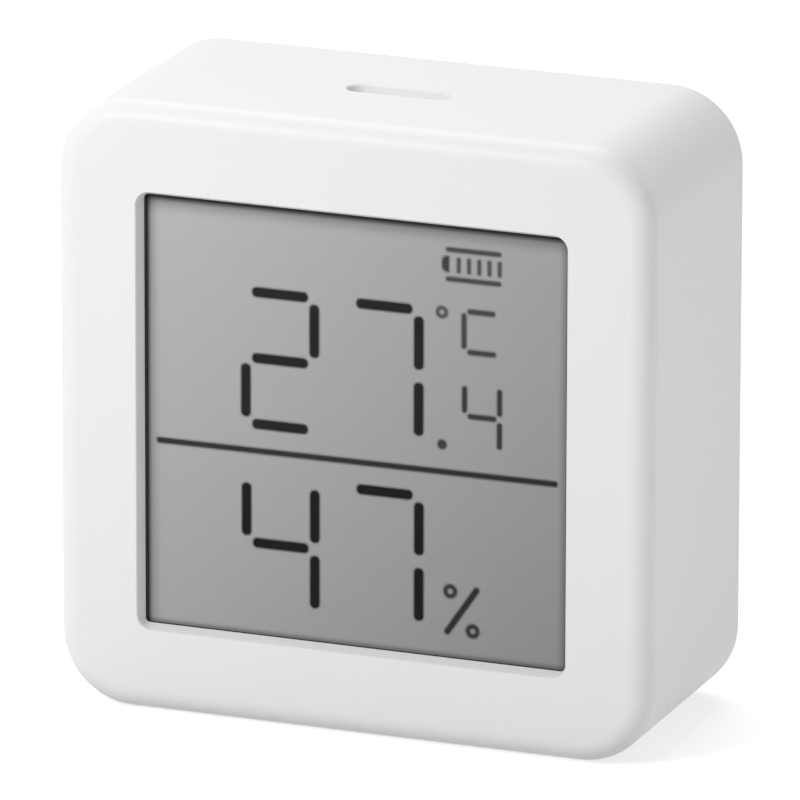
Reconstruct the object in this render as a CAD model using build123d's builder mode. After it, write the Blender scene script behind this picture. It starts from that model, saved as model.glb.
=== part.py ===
from build123d import *
import os
from math import cos, pi, sin, sqrt

# A desk temperature and humidity sensor in a square housing, in millimetres.
# X runs to the right, Y from the display to the back, and Z upwards. The origin
# is under the middle of the housing, on the surface that it stands on.

# Housing
body_width = 55.0
body_height = 55.0
body_depth = 24.0
corner_radius = 6.6
front_edge_radius = 1.9
back_edge_radius = 1.1
shell_wall = 1.6
front_wall = 1.6
overrun = 1.0

# Display window, a sloped recess that narrows towards the display
window_side_border = 7.6
window_end_border = 7.7
window_drop = 0.13
window_radius = 1.3
window_floor_radius = 0.45
window_inset = 0.38
window_lip = 1.05
window_edge = 0.08

# Air slot in the top face
slot_length = 9.8
slot_width = 2.4
slot_edge = 0.12
slot_floor_depth = 1.0
slot_air_gap = 0.25

# Display stack
gasket_thickness = 0.15
gasket_reach = 0.12
gasket_shift = 0.07
polarizer_thickness = 0.2
polarizer_overlap = 0.4
glass_thickness = 0.7
glass_overlap = 0.75
contact_ledge = 2.3
reflector_thickness = 0.25
rebate_gap = 0.15
frame_gap = 0.1
frame_rim = 1.0
frame_rib = 1.6
frame_depth = 1.9
zebra_end_gap = 2.7
zebra_width = 1.9

# Circuit board and the posts round it
board_thickness = 1.0
board_edge_gap = 0.6
board_part_gap = 0.35
board_boss_inset = 3.7
board_boss_drop = 10.0
board_boss_radius = 1.5
board_screw_radius = 0.6
board_screw_head_radius = 1.25
board_screw_head = 0.8
board_screw_length = 2.6
case_post_inset = 4.75
case_post_radius = 1.75
case_screw_radius = 0.85
case_screw_head_radius = 1.4
case_screw_head = 1.1
case_screw_length = 7.0
shank_sides = 8
screw_pilot_gap = 0.05
screw_clearance = 0.2
drive_slot = 0.35
drive_depth = 0.5
post_rib = 0.9

# Sensor tongue, air duct and vent baffle
tongue_width = 7.0
tongue_slot = 1.0
tongue_length = 7.0
sensor_size = 2.5
sensor_height = 0.9
sensor_drop = 2.3
sensor_port_radius = 0.5
sensor_port_depth = 0.3
duct_width = 12.4
duct_wall = 0.8
duct_height = 4.4
duct_reach = 1.4
baffle_thickness = 0.7
baffle_slit = 0.5
seal_thickness = 0.5

# Chips and small parts on the board, placed from its side and top edges
controller_size = 5.0
controller_height = 0.8
controller_inset = 12.3
controller_drop = 8.3
driver_size = 6.0
driver_height = 1.2
driver_inset = 11.3
driver_drop = 9.5
crystal_length = 3.2
crystal_width = 1.5
crystal_height = 0.7
crystal_inset = 7.1
crystal_drops = (6.2, 10.4)
capacitor_length = 1.0
capacitor_width = 0.5
capacitor_height = 0.5
capacitor_rows = 4
capacitor_columns = 3
capacitor_pitch = 2.2
capacitor_row_pitch = 1.1
capacitor_side = 8.0
capacitor_rise = 9.8
antenna_width = 0.5
antenna_thickness = 0.1
antenna_height = 3.2
antenna_folds = 6
antenna_drop = 5.6
antenna_duct_gap = 2.8
antenna_notch_gap = 3.65

# Battery tray, cells and contacts
fit_gap = 0.15
tray_wall = 0.85
tray_plate = 1.2
tray_recess = 1.7
bay_drop = 15.0
bay_floor = 1.1
cell_diameter = 10.5
cell_spring_room = 4.7
cell_pitch = 11.0
cell_side_gap = 0.35
cell_bed_gap = 0.1
cell_cover_gap = 0.2
cell_edge_radius = 0.5
nub_radius = 1.9
nub_height = 1.1
cradle_height = 2.4
cradle_rib = 1.0
cradle_gap = 0.12
cradle_shares = (-0.34, -0.12, 0.12, 0.34)
contact_thickness = 0.3
contact_side_gap = 0.75
contact_back_gap = 1.95
contact_gap = 0.05
keeper_thickness = 0.7
keeper_lap = 0.5
keeper_height = 6.0
tail_width = 1.6
tail_gap = 0.2
spring_wire = 0.5
spring_base_radius = 2.9
spring_tip_radius = 1.5
spring_turns = 3
wire_sides = 6

# Button and switch
button_drop = 9.8
button_radius = 2.1
button_gap = 0.3
button_sink = 0.2
button_dish = 0.25
button_floor_share = 0.6
collar_radius = 2.8
collar_height = 1.0
collar_gap = 0.2
stem_radius = 1.3
guide_wall = 0.6
guide_length = 4.1
switch_size = 5.1
switch_height = 3.5
plunger_radius = 1.7
plunger_height = 1.0
plunger_bed = 1.2
plunger_gap = 0.1
press_travel = 0.4

# Battery cover, its hooks and magnets
cover_thickness = 1.3
cover_gap = 0.1
cover_edge_gap = 0.2
cover_edge = 0.25
hook_inset = 13.5
hook_width = 6.0
hook_thickness = 0.9
hook_drop = 1.3
hook_reach = 0.85
hook_tip = 1.0
hook_gap = 0.3
hook_swing = 0.4
hook_pocket_depth = 0.95
nail_notch_radius = 4.0
nail_notch_depth = 1.0
magnet_length = 7.0
magnet_width = 4.6
magnet_thickness = 1.5
magnet_rim = 0.7
magnet_gap = 0.1
upper_magnet_inset = 12.0
upper_magnet_drop = 9.6
lower_magnet_inset = 11.0
lower_magnet_rise = 6.9

# Kickstand
stand_side_inset = 18.5
stand_thickness = 1.1
stand_sink = 0.05
stand_gap = 0.1
stand_side_gap = 0.15
stand_tip_height = 8.5
stand_hinge_drop = 14.8
stand_corner_radius = 3.0
stand_rim = 2.2
stand_relief = 0.4
barrel_radius = 0.9
trunnion_radius = 0.6
trunnion_length = 1.0
trunnion_gap = 0.05
pocket_floor = 0.85
pocket_wall = 1.3
pocket_end_gap = 0.2
finger_notch_radius = 4.0
grip_grooves = 3
grip_pitch = 1.0
grip_width = 0.4
grip_depth = 0.25
grip_length_share = 0.5

# Depths that follow from the sizes above, from the front face to the back
front_face = -body_depth / 2
back_face = body_depth / 2
front_inside = front_face + front_wall
rebate_floor = front_face + window_lip
display_front = rebate_floor + gasket_thickness
glass_front = display_front + polarizer_thickness
glass_joint = glass_front + glass_thickness
glass_back = glass_joint + glass_thickness
display_back = glass_back + reflector_thickness
board_front = display_back + frame_depth
board_back = board_front + board_thickness
cover_inside = back_face - cover_thickness
tray_rim = cover_inside - cover_gap
tray_plate_back = tray_rim - tray_recess
tray_plate_front = tray_plate_back - tray_plate
stand_outside = back_face - stand_sink
stand_inside = stand_outside - stand_thickness
pocket_bottom = stand_inside - stand_gap
pocket_inside = pocket_bottom - pocket_floor
cell_radius = cell_diameter / 2
cell_axis = pocket_inside - cell_cover_gap - cell_radius
bay_floor_back = cell_axis - cell_radius - cell_bed_gap
bay_floor_front = bay_floor_back - bay_floor
switch_top = board_back + switch_height
button_tip = switch_top + plunger_height
button_face = back_face - button_sink

# Widths and heights that follow
middle = body_height / 2
window_width = body_width - 2 * window_side_border
window_height = body_height - 2 * window_end_border
window_middle = middle - window_drop
cavity_width = body_width - 2 * shell_wall
cavity_height = body_height - 2 * shell_wall
cavity_radius = corner_radius - shell_wall
cavity_top = body_height - shell_wall
tray_width = cavity_width - 2 * fit_gap
tray_height = cavity_height - 2 * fit_gap
tray_radius = cavity_radius - fit_gap
bay_length = tray_width - 2 * tray_wall
bay_height = cell_pitch + cell_diameter + 2 * cell_side_gap
bay_middle = body_height - bay_drop - tray_wall - bay_height / 2
contact_face = bay_length / 2 - contact_thickness
cell_length = 2 * contact_face - cell_spring_room
upper_cell_height = bay_middle + cell_pitch / 2
lower_cell_height = bay_middle - cell_pitch / 2
button_place = body_height - button_drop
glass_width = window_width + 2 * glass_overlap
rear_glass_height = window_height + 2 * glass_overlap
front_glass_height = rear_glass_height + contact_ledge
front_glass_middle = window_middle - contact_ledge / 2
ledge_middle = window_middle - rear_glass_height / 2 - contact_ledge / 2
zebra_length = glass_width - 2 * zebra_end_gap
board_width = cavity_width - 2 * board_edge_gap
board_height = cavity_height - 2 * board_edge_gap
board_side = board_width / 2
board_top = middle + board_height / 2
board_base = middle - board_height / 2
notch_width = case_post_inset - shell_wall - board_edge_gap + case_post_radius + board_part_gap
case_post_across = body_width / 2 - case_post_inset
case_post_up = body_height / 2 - case_post_inset
case_post_reach = case_post_inset - shell_wall / 2
board_boss_across = body_width / 2 - board_boss_inset
board_boss_up = body_height / 2 - board_boss_drop
board_boss_reach = board_boss_inset - shell_wall / 2
duct_top = cavity_top - baffle_thickness
duct_bottom = duct_top - duct_height
duct_front = board_back + seal_thickness
duct_back = slot_width / 2 + duct_reach
cover_top = cavity_top - cover_edge_gap
stand_width = body_width - 2 * stand_side_inset
stand_hinge_height = body_height - stand_hinge_drop
hinge_axis_depth = stand_outside - barrel_radius
pocket_top = stand_hinge_height + barrel_radius + pocket_end_gap
pocket_base = stand_tip_height - pocket_end_gap
pocket_width = stand_width + 2 * stand_side_gap
sensor_height_up = board_top - sensor_drop


def at_depth(depth):
    """Sketch plane across the body at a depth, with X to the right and Z up."""
    return Plane.XZ.offset(-depth)


def across(place):
    """Sketch plane square to X, whose own axes are Y and Z."""
    return Plane.YZ.offset(place)


def at_height(height):
    """Level sketch plane, with X and Y as its axes."""
    return Plane.XY.offset(height)


def mirrored(offset_x, offset_z, height=middle):
    """The four places at plus and minus the offsets about a middle height."""
    return [(sx * offset_x, height + sz * offset_z) for sx in (-1, 1) for sz in (-1, 1)]


case_post_places = mirrored(case_post_across, case_post_up)
board_boss_places = mirrored(board_boss_across, board_boss_up)
hook_places = [side * (body_width / 2 - hook_inset) for side in (-1, 1)]
magnet_corners = [
    (upper_magnet_inset, body_height - upper_magnet_drop),
    (lower_magnet_inset, lower_magnet_rise),
]
magnet_places = [(side * (body_width / 2 - inset), up) for side in (-1, 1) for inset, up in magnet_corners]


# Front housing: a deep moulded shell whose front wall holds the display
with BuildPart() as front_housing:
    with BuildSketch(at_depth(back_face)):
        with Locations((0, middle)):
            RectangleRounded(body_width, body_height, corner_radius)
    extrude(amount=body_depth)
    fillet(front_housing.faces().sort_by(Axis.Y)[0].edges(), front_edge_radius)
    fillet(front_housing.faces().sort_by(Axis.Y)[-1].edges(), back_edge_radius)
    with BuildSketch(at_depth(back_face + overrun)):
        with Locations((0, middle)):
            RectangleRounded(cavity_width, cavity_height, cavity_radius)
    extrude(amount=back_face + overrun - front_inside, mode=Mode.SUBTRACT)

    # Window recess: a fine bevel at its mouth, then walls that close in to the floor
    for depth, inset, radius in (
        (front_face, -window_edge, window_radius + window_edge),
        (front_face + window_edge, 0, window_radius),
        (rebate_floor, window_inset, window_floor_radius),
    ):
        with BuildSketch(at_depth(depth)):
            with Locations((0, window_middle)):
                RectangleRounded(window_width - 2 * inset, window_height - 2 * inset, radius)
    loft(ruled=True, mode=Mode.SUBTRACT)

    # Rebate behind the window that seats the glass
    with BuildSketch(at_depth(front_inside)):
        with Locations((0, front_glass_middle)):
            Rectangle(glass_width + 2 * rebate_gap, front_glass_height + 2 * rebate_gap)
    extrude(amount=front_inside - rebate_floor, mode=Mode.SUBTRACT)

    # Posts for the case screws, tied to the walls by ribs
    with BuildSketch(at_depth(tray_plate_front)):
        with Locations(case_post_places):
            Circle(case_post_radius)
    extrude(amount=tray_plate_front - front_inside)
    with BuildSketch(at_depth(bay_floor_front)):
        for post_x, post_z in case_post_places:
            side = 1 if post_x > 0 else -1
            level = 1 if post_z > middle else -1
            with Locations((side * (case_post_across + case_post_reach / 2), post_z)):
                Rectangle(case_post_reach, post_rib)
            with Locations((post_x, middle + level * (case_post_up + case_post_reach / 2))):
                Rectangle(post_rib, case_post_reach)
    extrude(amount=bay_floor_front - front_inside)
    with BuildSketch(at_depth(tray_plate_front)):
        with Locations(case_post_places):
            Circle(case_screw_radius + screw_pilot_gap)
    extrude(amount=case_screw_length, mode=Mode.SUBTRACT)

    # Bosses that the circuit board is screwed to
    with BuildSketch(at_depth(board_front)):
        with Locations(board_boss_places):
            Circle(board_boss_radius)
        for boss_x, boss_z in board_boss_places:
            side = 1 if boss_x > 0 else -1
            with Locations((side * (board_boss_across + board_boss_reach / 2), boss_z)):
                Rectangle(board_boss_reach, post_rib)
    extrude(amount=board_front - front_inside)
    with BuildSketch(at_depth(board_front)):
        with Locations(board_boss_places):
            Circle(board_screw_radius + screw_pilot_gap)
    extrude(amount=board_front - front_inside, mode=Mode.SUBTRACT)

    # Air slot through the top wall
    with BuildSketch(at_height(body_height + overrun)):
        SlotOverall(slot_length, slot_width)
    extrude(amount=-(shell_wall + 2 * overrun), mode=Mode.SUBTRACT)
    chamfer(front_housing.faces().sort_by(Axis.Z)[-1].inner_wires()[0].edges(), slot_edge)

    # Pockets in the top wall for the hooks of the battery cover
    with BuildSketch(at_depth(cover_inside + hook_gap)):
        for hook_x in hook_places:
            with Locations((hook_x, cavity_top + hook_pocket_depth / 2)):
                Rectangle(hook_width + 2 * hook_gap, hook_pocket_depth)
    extrude(amount=hook_drop + hook_gap + hook_swing, mode=Mode.SUBTRACT)
front_housing.part.label = "front_housing"


# Display: gasket, front polariser, two glasses and reflector
with BuildPart() as lcd_gasket:
    with BuildSketch(at_depth(display_front)):
        with Locations((0, window_middle)):
            Rectangle(window_width + 2 * polarizer_overlap, window_height + 2 * polarizer_overlap)
        with Locations((gasket_shift, window_middle - gasket_shift)):
            Rectangle(
                window_width - 2 * window_inset - 2 * gasket_reach,
                window_height - 2 * window_inset - 2 * gasket_reach,
                mode=Mode.SUBTRACT,
            )
    extrude(amount=gasket_thickness)
lcd_gasket.part.label = "lcd_gasket"

with BuildPart() as lcd_polarizer:
    with BuildSketch(at_depth(glass_front)):
        with Locations((0, window_middle)):
            Rectangle(window_width + 2 * polarizer_overlap, window_height + 2 * polarizer_overlap)
    extrude(amount=polarizer_thickness)
lcd_polarizer.part.label = "lcd_polarizer"

with BuildPart() as lcd_front_glass:
    with BuildSketch(at_depth(glass_joint)):
        with Locations((0, front_glass_middle)):
            Rectangle(glass_width, front_glass_height)
    extrude(amount=glass_thickness)
lcd_front_glass.part.label = "lcd_front_glass"

with BuildPart() as lcd_rear_glass:
    with BuildSketch(at_depth(glass_back)):
        with Locations((0, window_middle)):
            Rectangle(glass_width, rear_glass_height)
    extrude(amount=glass_thickness)
lcd_rear_glass.part.label = "lcd_rear_glass"

with BuildPart() as lcd_reflector:
    with BuildSketch(at_depth(display_back)):
        with Locations((0, window_middle)):
            Rectangle(window_width + 2 * polarizer_overlap, window_height + 2 * polarizer_overlap)
    extrude(amount=reflector_thickness)
lcd_reflector.part.label = "lcd_reflector"


# Moulded frame that presses the display into the window, open between its ribs
frame_inner_width = glass_width + 2 * frame_gap
frame_inner_height = rear_glass_height + 2 * frame_gap
frame_top = window_middle + rear_glass_height / 2 + frame_gap + frame_rim
frame_base = ledge_middle - contact_ledge / 2 - frame_gap - frame_rim
with BuildPart() as lcd_frame:
    with BuildSketch(at_depth(board_front)):
        with Locations((0, (frame_top + frame_base) / 2)):
            Rectangle(frame_inner_width + 2 * frame_rim, frame_top - frame_base)
        with Locations(case_post_places):
            Circle(case_post_radius + board_part_gap, mode=Mode.SUBTRACT)
    extrude(amount=board_front - glass_joint)
    with BuildSketch(at_depth(display_back)):
        with Locations((0, window_middle)):
            Rectangle(frame_inner_width, frame_inner_height)
    extrude(amount=display_back - glass_joint, mode=Mode.SUBTRACT)
    cell_across = (frame_inner_width - 3 * frame_rib) / 2
    cell_up = (frame_inner_height - 3 * frame_rib) / 2
    with BuildSketch(at_depth(board_front)):
        with Locations((0, window_middle)):
            with GridLocations(cell_across + frame_rib, cell_up + frame_rib, 2, 2):
                Rectangle(cell_across, cell_up)
    extrude(amount=board_front - display_back, mode=Mode.SUBTRACT)
    with BuildSketch(at_depth(board_front)):
        with Locations((0, ledge_middle)):
            Rectangle(zebra_length + 2 * frame_gap, zebra_width + 2 * frame_gap)
    extrude(amount=board_front - glass_joint, mode=Mode.SUBTRACT)
lcd_frame.part.label = "lcd_frame"

with BuildPart() as zebra_connector:
    with BuildSketch(at_depth(board_front)):
        with Locations((0, ledge_middle)):
            Rectangle(zebra_length, zebra_width)
    extrude(amount=board_front - glass_joint)
zebra_connector.part.label = "zebra_connector"


# Circuit board with cut corners and a tongue that keeps the sensor cool
with BuildPart() as main_board:
    with BuildSketch(at_depth(board_back)):
        with Locations((0, middle)):
            Rectangle(board_width, board_height)
        with Locations(mirrored(board_side, board_height / 2)):
            Rectangle(2 * notch_width, 2 * notch_width, mode=Mode.SUBTRACT)
        slot_across = tongue_width / 2 + tongue_slot / 2
        with Locations((-slot_across, board_top), (slot_across, board_top)):
            Rectangle(tongue_slot, 2 * tongue_length, mode=Mode.SUBTRACT)
        with Locations(board_boss_places):
            Circle(board_screw_radius + screw_clearance, mode=Mode.SUBTRACT)
    extrude(amount=board_thickness)
main_board.part.label = "main_board"


def chip(length, width, height, places):
    """Chips on the back of the board, one solid for each place."""
    with BuildPart() as body:
        with BuildSketch(at_depth(board_back + height)):
            with Locations(places):
                Rectangle(length, width)
        extrude(amount=height)
    return body.part


controller_place = (controller_inset - board_side, board_top - controller_drop)
controller_chip = chip(controller_size, controller_size, controller_height, [controller_place])
controller_chip.label = "controller_chip"
driver_place = (board_side - driver_inset, board_top - driver_drop)
display_driver = chip(driver_size, driver_size, driver_height, [driver_place])
display_driver.label = "display_driver"
crystal_places = [(crystal_inset - board_side, board_top - drop) for drop in crystal_drops]
crystals = chip(crystal_length, crystal_width, crystal_height, crystal_places)
crystals.label = "crystals"
capacitor_places = [
    (column * capacitor_pitch - capacitor_side, board_base + capacitor_rise - row * capacitor_row_pitch)
    for column in range(capacitor_columns)
    for row in range(capacitor_rows)
]
chip_capacitors = chip(capacitor_length, capacitor_width, capacitor_height, capacitor_places)
chip_capacitors.label = "chip_capacitors"

# Antenna trace: one copper line that folds up and down between the duct and the corner notch
antenna_start = duct_width / 2 + antenna_duct_gap
antenna_end = board_side - notch_width - antenna_notch_gap
antenna_pitch = (antenna_end - antenna_start) / (antenna_folds - 1)
antenna_base = board_top - antenna_drop
with BuildPart() as board_antenna:
    with BuildSketch(at_depth(board_back + antenna_thickness)):
        for fold in range(antenna_folds):
            fold_x = antenna_start + fold * antenna_pitch
            joint_z = antenna_base + (antenna_height if fold % 2 == 0 else 0)
            with Locations((fold_x, antenna_base + antenna_height / 2)):
                Rectangle(antenna_width, antenna_height + antenna_width)
            if fold < antenna_folds - 1:
                with Locations((fold_x + antenna_pitch / 2, joint_z)):
                    Rectangle(antenna_pitch + antenna_width, antenna_width)
    extrude(amount=antenna_thickness)
board_antenna.part.label = "board_antenna"

with BuildPart() as humidity_sensor:
    with BuildSketch(at_depth(board_back + sensor_height)):
        with Locations((0, sensor_height_up)):
            Rectangle(sensor_size, sensor_size)
    extrude(amount=sensor_height)
    with BuildSketch(at_depth(board_back + sensor_height)):
        with Locations((0, sensor_height_up)):
            Circle(sensor_port_radius)
    extrude(amount=sensor_port_depth, mode=Mode.SUBTRACT)
humidity_sensor.part.label = "humidity_sensor"


# Air duct: an open trough from the slot to the sensor, with its foam seal and its lid
duct_middle = (duct_top + duct_bottom) / 2
duct_length = duct_back - duct_front
with BuildPart() as air_duct:
    with BuildSketch(at_depth(duct_back)):
        with Locations((0, duct_middle)):
            Rectangle(duct_width, duct_height)
    extrude(amount=duct_length)
    with BuildSketch(at_depth(duct_back - duct_wall)):
        with Locations((0, duct_middle + duct_wall)):
            Rectangle(duct_width - 2 * duct_wall, duct_height)
    extrude(amount=duct_length, mode=Mode.SUBTRACT)
air_duct.part.label = "air_duct"

with BuildPart() as sensor_seal:
    with BuildSketch(at_depth(duct_front)):
        with Locations((0, duct_middle)):
            Rectangle(duct_width, duct_height)
        with Locations((0, duct_middle + duct_wall)):
            Rectangle(duct_width - 2 * duct_wall, duct_height, mode=Mode.SUBTRACT)
    extrude(amount=seal_thickness)
sensor_seal.part.label = "sensor_seal"

pad_length = slot_length - 2 * slot_air_gap
pad_width = slot_width - 2 * slot_air_gap
with BuildPart() as vent_baffle:
    with BuildSketch(at_depth(duct_back)):
        with Locations((0, duct_top + baffle_thickness / 2)):
            Rectangle(duct_width, baffle_thickness)
    extrude(amount=duct_length)
    with BuildSketch(at_height(duct_top)):
        SlotOverall(pad_length, pad_width)
    extrude(amount=body_height - slot_floor_depth - duct_top)
    with BuildSketch(at_height(duct_top)):
        for side in (-1, 1):
            with Locations((0, side * (pad_width + baffle_slit) / 2)):
                Rectangle(pad_length - pad_width, baffle_slit)
    extrude(amount=baffle_thickness, mode=Mode.SUBTRACT)
vent_baffle.part.label = "vent_baffle"


# Tact switch and its plunger
with BuildPart() as tact_switch:
    with BuildSketch(at_depth(switch_top)):
        with Locations((0, button_place)):
            Rectangle(switch_size, switch_size)
    extrude(amount=switch_height)
    with BuildSketch(at_depth(switch_top)):
        with Locations((0, button_place)):
            Circle(plunger_radius + plunger_gap)
    extrude(amount=plunger_bed + press_travel + plunger_gap, mode=Mode.SUBTRACT)
tact_switch.part.label = "tact_switch"

with BuildPart() as switch_plunger:
    with BuildSketch(at_depth(button_tip)):
        with Locations((0, button_place)):
            Circle(plunger_radius)
    extrude(amount=plunger_height + plunger_bed)
switch_plunger.part.label = "switch_plunger"

# Rear button: a turned profile with a dished face, a collar and a long stem
collar_back = tray_plate_front - collar_gap
with BuildPart() as rear_button:
    with BuildSketch(Plane.YZ):
        with BuildLine():
            Polyline(
                (button_tip, button_place),
                (button_tip, button_place + stem_radius),
                (collar_back - collar_height, button_place + stem_radius),
                (collar_back - collar_height, button_place + collar_radius),
                (collar_back, button_place + collar_radius),
                (collar_back, button_place + button_radius),
                (button_face, button_place + button_radius),
                (button_face - button_dish, button_place + button_radius * button_floor_share),
                (button_face - button_dish, button_place),
                close=True,
            )
        make_face()
    revolve(axis=Axis((0, 0, button_place), (0, 1, 0)))
rear_button.part.label = "rear_button"


# Battery tray: a pan that closes the housing, with a bay for two cells
contact_width = cell_diameter - 2 * contact_side_gap
bridge_width = cell_pitch + contact_width
with BuildPart() as battery_tray:
    with BuildSketch(at_depth(tray_rim)):
        with Locations((0, middle)):
            RectangleRounded(tray_width, tray_height, tray_radius)
    extrude(amount=tray_rim - tray_plate_front)
    with BuildSketch(at_depth(tray_rim)):
        with Locations((0, middle)):
            RectangleRounded(bay_length, tray_height - 2 * tray_wall, tray_radius - tray_wall)
        with Locations(case_post_places):
            Circle(case_screw_head_radius + screw_clearance)
    extrude(amount=tray_recess, mode=Mode.SUBTRACT)
    with BuildSketch(at_depth(tray_plate_back)):
        with Locations((0, bay_middle)):
            Rectangle(tray_width, bay_height + 2 * tray_wall)
    extrude(amount=tray_plate_back - bay_floor_front)
    with BuildSketch(at_depth(tray_plate_back)):
        with Locations((0, bay_middle)):
            Rectangle(bay_length, bay_height)
    extrude(amount=tray_plate_back - bay_floor_back, mode=Mode.SUBTRACT)

    # Cradle ribs that carry the cells
    for share in cradle_shares:
        with BuildSketch(across(share * bay_length)):
            with Locations((bay_floor_back + cradle_height / 2, bay_middle)):
                Rectangle(cradle_height, bay_height)
            with Locations((cell_axis, upper_cell_height), (cell_axis, lower_cell_height)):
                Circle(cell_radius + cradle_gap, mode=Mode.SUBTRACT)
        extrude(amount=cradle_rib / 2, both=True)

    # Keepers that hold the edges of the contact plates against the ends of the bay
    keeper_x = contact_face - contact_gap - keeper_thickness / 2
    keeper_reach = (bay_height - bridge_width) / 2 + keeper_lap
    with BuildSketch(at_depth(bay_floor_back + keeper_height)):
        for side in (-1, 1):
            for level in (-1, 1):
                with Locations((side * keeper_x, bay_middle + level * (bay_height - keeper_reach) / 2)):
                    Rectangle(keeper_thickness, keeper_reach)
        with Locations((-keeper_x, bay_middle)):
            Rectangle(keeper_thickness, cell_pitch - contact_width + 2 * keeper_lap)
    extrude(amount=keeper_height)

    # Guide tube of the button, and the hole that its head passes
    with BuildSketch(at_depth(tray_plate_front)):
        with Locations((0, button_place)):
            Circle(collar_radius + collar_gap + guide_wall)
            Circle(collar_radius + collar_gap, mode=Mode.SUBTRACT)
    extrude(amount=guide_length)
    with BuildSketch(at_depth(tray_plate_back)):
        with Locations((0, button_place)):
            Circle(button_radius + button_gap)
        with Locations(case_post_places):
            Circle(case_screw_radius + screw_clearance)
    extrude(amount=tray_plate, mode=Mode.SUBTRACT)

    # Notches for the hooks of the cover, and slots for the contact tails
    with BuildSketch(at_depth(tray_rim + overrun)):
        for hook_x in hook_places:
            with Locations((hook_x, cavity_top - hook_thickness / 2 - hook_swing)):
                Rectangle(hook_width + 2 * hook_gap, hook_thickness + 2 * hook_gap + hook_swing)
    extrude(amount=tray_rim - tray_plate_front + 2 * overrun, mode=Mode.SUBTRACT)
    with BuildSketch(at_depth(bay_floor_back)):
        for cell_height in (upper_cell_height, lower_cell_height):
            with Locations((-bay_length / 2 + contact_thickness / 2 + tail_gap / 2, cell_height)):
                Rectangle(contact_thickness + tail_gap, tail_width + 2 * tail_gap)
    extrude(amount=bay_floor, mode=Mode.SUBTRACT)
battery_tray.part.label = "battery_tray"


def cell(height, side):
    """A cylindrical cell whose positive nub points to one side, plus or minus X."""
    nub_end = side * (contact_face - contact_gap)
    shoulder = nub_end - side * nub_height
    end = nub_end - side * cell_length
    with BuildPart() as body:
        with BuildSketch(at_depth(cell_axis)):
            with BuildLine():
                Polyline(
                    (end, height),
                    (end, height + cell_radius - cell_edge_radius),
                    (end + side * cell_edge_radius, height + cell_radius),
                    (shoulder - side * cell_edge_radius, height + cell_radius),
                    (shoulder, height + cell_radius - cell_edge_radius),
                    (shoulder, height + nub_radius),
                    (nub_end, height + nub_radius),
                    (nub_end, height),
                    close=True,
                )
            make_face()
        revolve(axis=Axis((0, cell_axis, height), (1, 0, 0)))
    return body.part


upper_cell = cell(upper_cell_height, 1)
upper_cell.label = "upper_cell"
lower_cell = cell(lower_cell_height, -1)
lower_cell.label = "lower_cell"


# Contact plates at the ends of the bay
contact_base = bay_floor_back + contact_gap
contact_back = cell_axis + cell_radius - contact_back_gap
contact_height = contact_back - contact_base
contact_middle = (contact_base + contact_back) / 2
tail_length = contact_base - board_back


def tailed_contact(height):
    """A contact plate at the left end of the bay, with its tail down to the board."""
    with BuildPart() as body:
        with BuildSketch(across(-bay_length / 2)):
            with Locations((contact_middle, height)):
                Rectangle(contact_height, contact_width)
            with Locations((board_back + tail_length / 2, height)):
                Rectangle(tail_length, tail_width)
        extrude(amount=contact_thickness)
    return body.part


negative_contact = tailed_contact(upper_cell_height)
negative_contact.label = "negative_contact"
positive_contact = tailed_contact(lower_cell_height)
positive_contact.label = "positive_contact"

with BuildPart() as bridge_contact:
    with BuildSketch(across(contact_face)):
        with Locations((contact_middle, bay_middle)):
            Rectangle(contact_height, bridge_width)
    extrude(amount=contact_thickness)
bridge_contact.part.label = "bridge_contact"


# Coil springs of the contacts, each one flat-sided wire swept along pairs of arcs
spring_start = contact_face - contact_gap - spring_wire / 2
spring_length = cell_spring_room - 3 * contact_gap - spring_wire
halves = 2 * spring_turns


def spring_point(half, height, side):
    """Point and direction on the conical coil after a number of half turns."""
    share = half / halves
    turn = half * pi
    radius = spring_base_radius + (spring_tip_radius - spring_base_radius) * share
    growth = (spring_tip_radius - spring_base_radius) / (halves * pi)
    rise = spring_length / (halves * pi)
    point = Vector(
        side * (spring_start - spring_length * share),
        cell_axis + radius * cos(turn),
        height + radius * sin(turn),
    )
    heading = Vector(
        -side * rise,
        growth * cos(turn) - radius * sin(turn),
        growth * sin(turn) + radius * cos(turn),
    )
    return point, heading.normalized()


def arc_joint(start, start_heading, end, end_heading):
    """Where two arcs that leave and arrive in the given directions meet, and their heading there."""
    chord = end - start
    both = start_heading + end_heading
    slack = 2 * (1 - start_heading.dot(end_heading))
    reach = (sqrt(chord.dot(both) ** 2 + slack * chord.dot(chord)) - chord.dot(both)) / slack
    near = start + start_heading * reach
    far = end - end_heading * reach
    return (near + far) / 2, far - near


def coil_spring(height, side):
    """A conical contact spring that narrows towards its cell."""
    with BuildPart() as body:
        with BuildLine() as path:
            for half in range(halves):
                start, start_heading = spring_point(half, height, side)
                end, end_heading = spring_point(half + 1, height, side)
                joint, joint_heading = arc_joint(start, start_heading, end, end_heading)
                TangentArc(start, joint, tangent=start_heading)
                TangentArc(joint, end, tangent=joint_heading)
        start, start_heading = spring_point(0, height, side)
        with BuildSketch(Plane(origin=start, z_dir=start_heading)):
            RegularPolygon(spring_wire / 2, wire_sides)
        sweep(path=path.wire())
    return body.part


upper_spring = coil_spring(upper_cell_height, -1)
upper_spring.label = "upper_spring"
lower_spring = coil_spring(lower_cell_height, 1)
lower_spring.label = "lower_spring"
turn_rise = spring_length / spring_turns
turn_step = (spring_base_radius - spring_tip_radius) / spring_turns
print("least gap between spring turns", round(sqrt(turn_rise**2 + turn_step**2) - spring_wire, 3))


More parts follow.
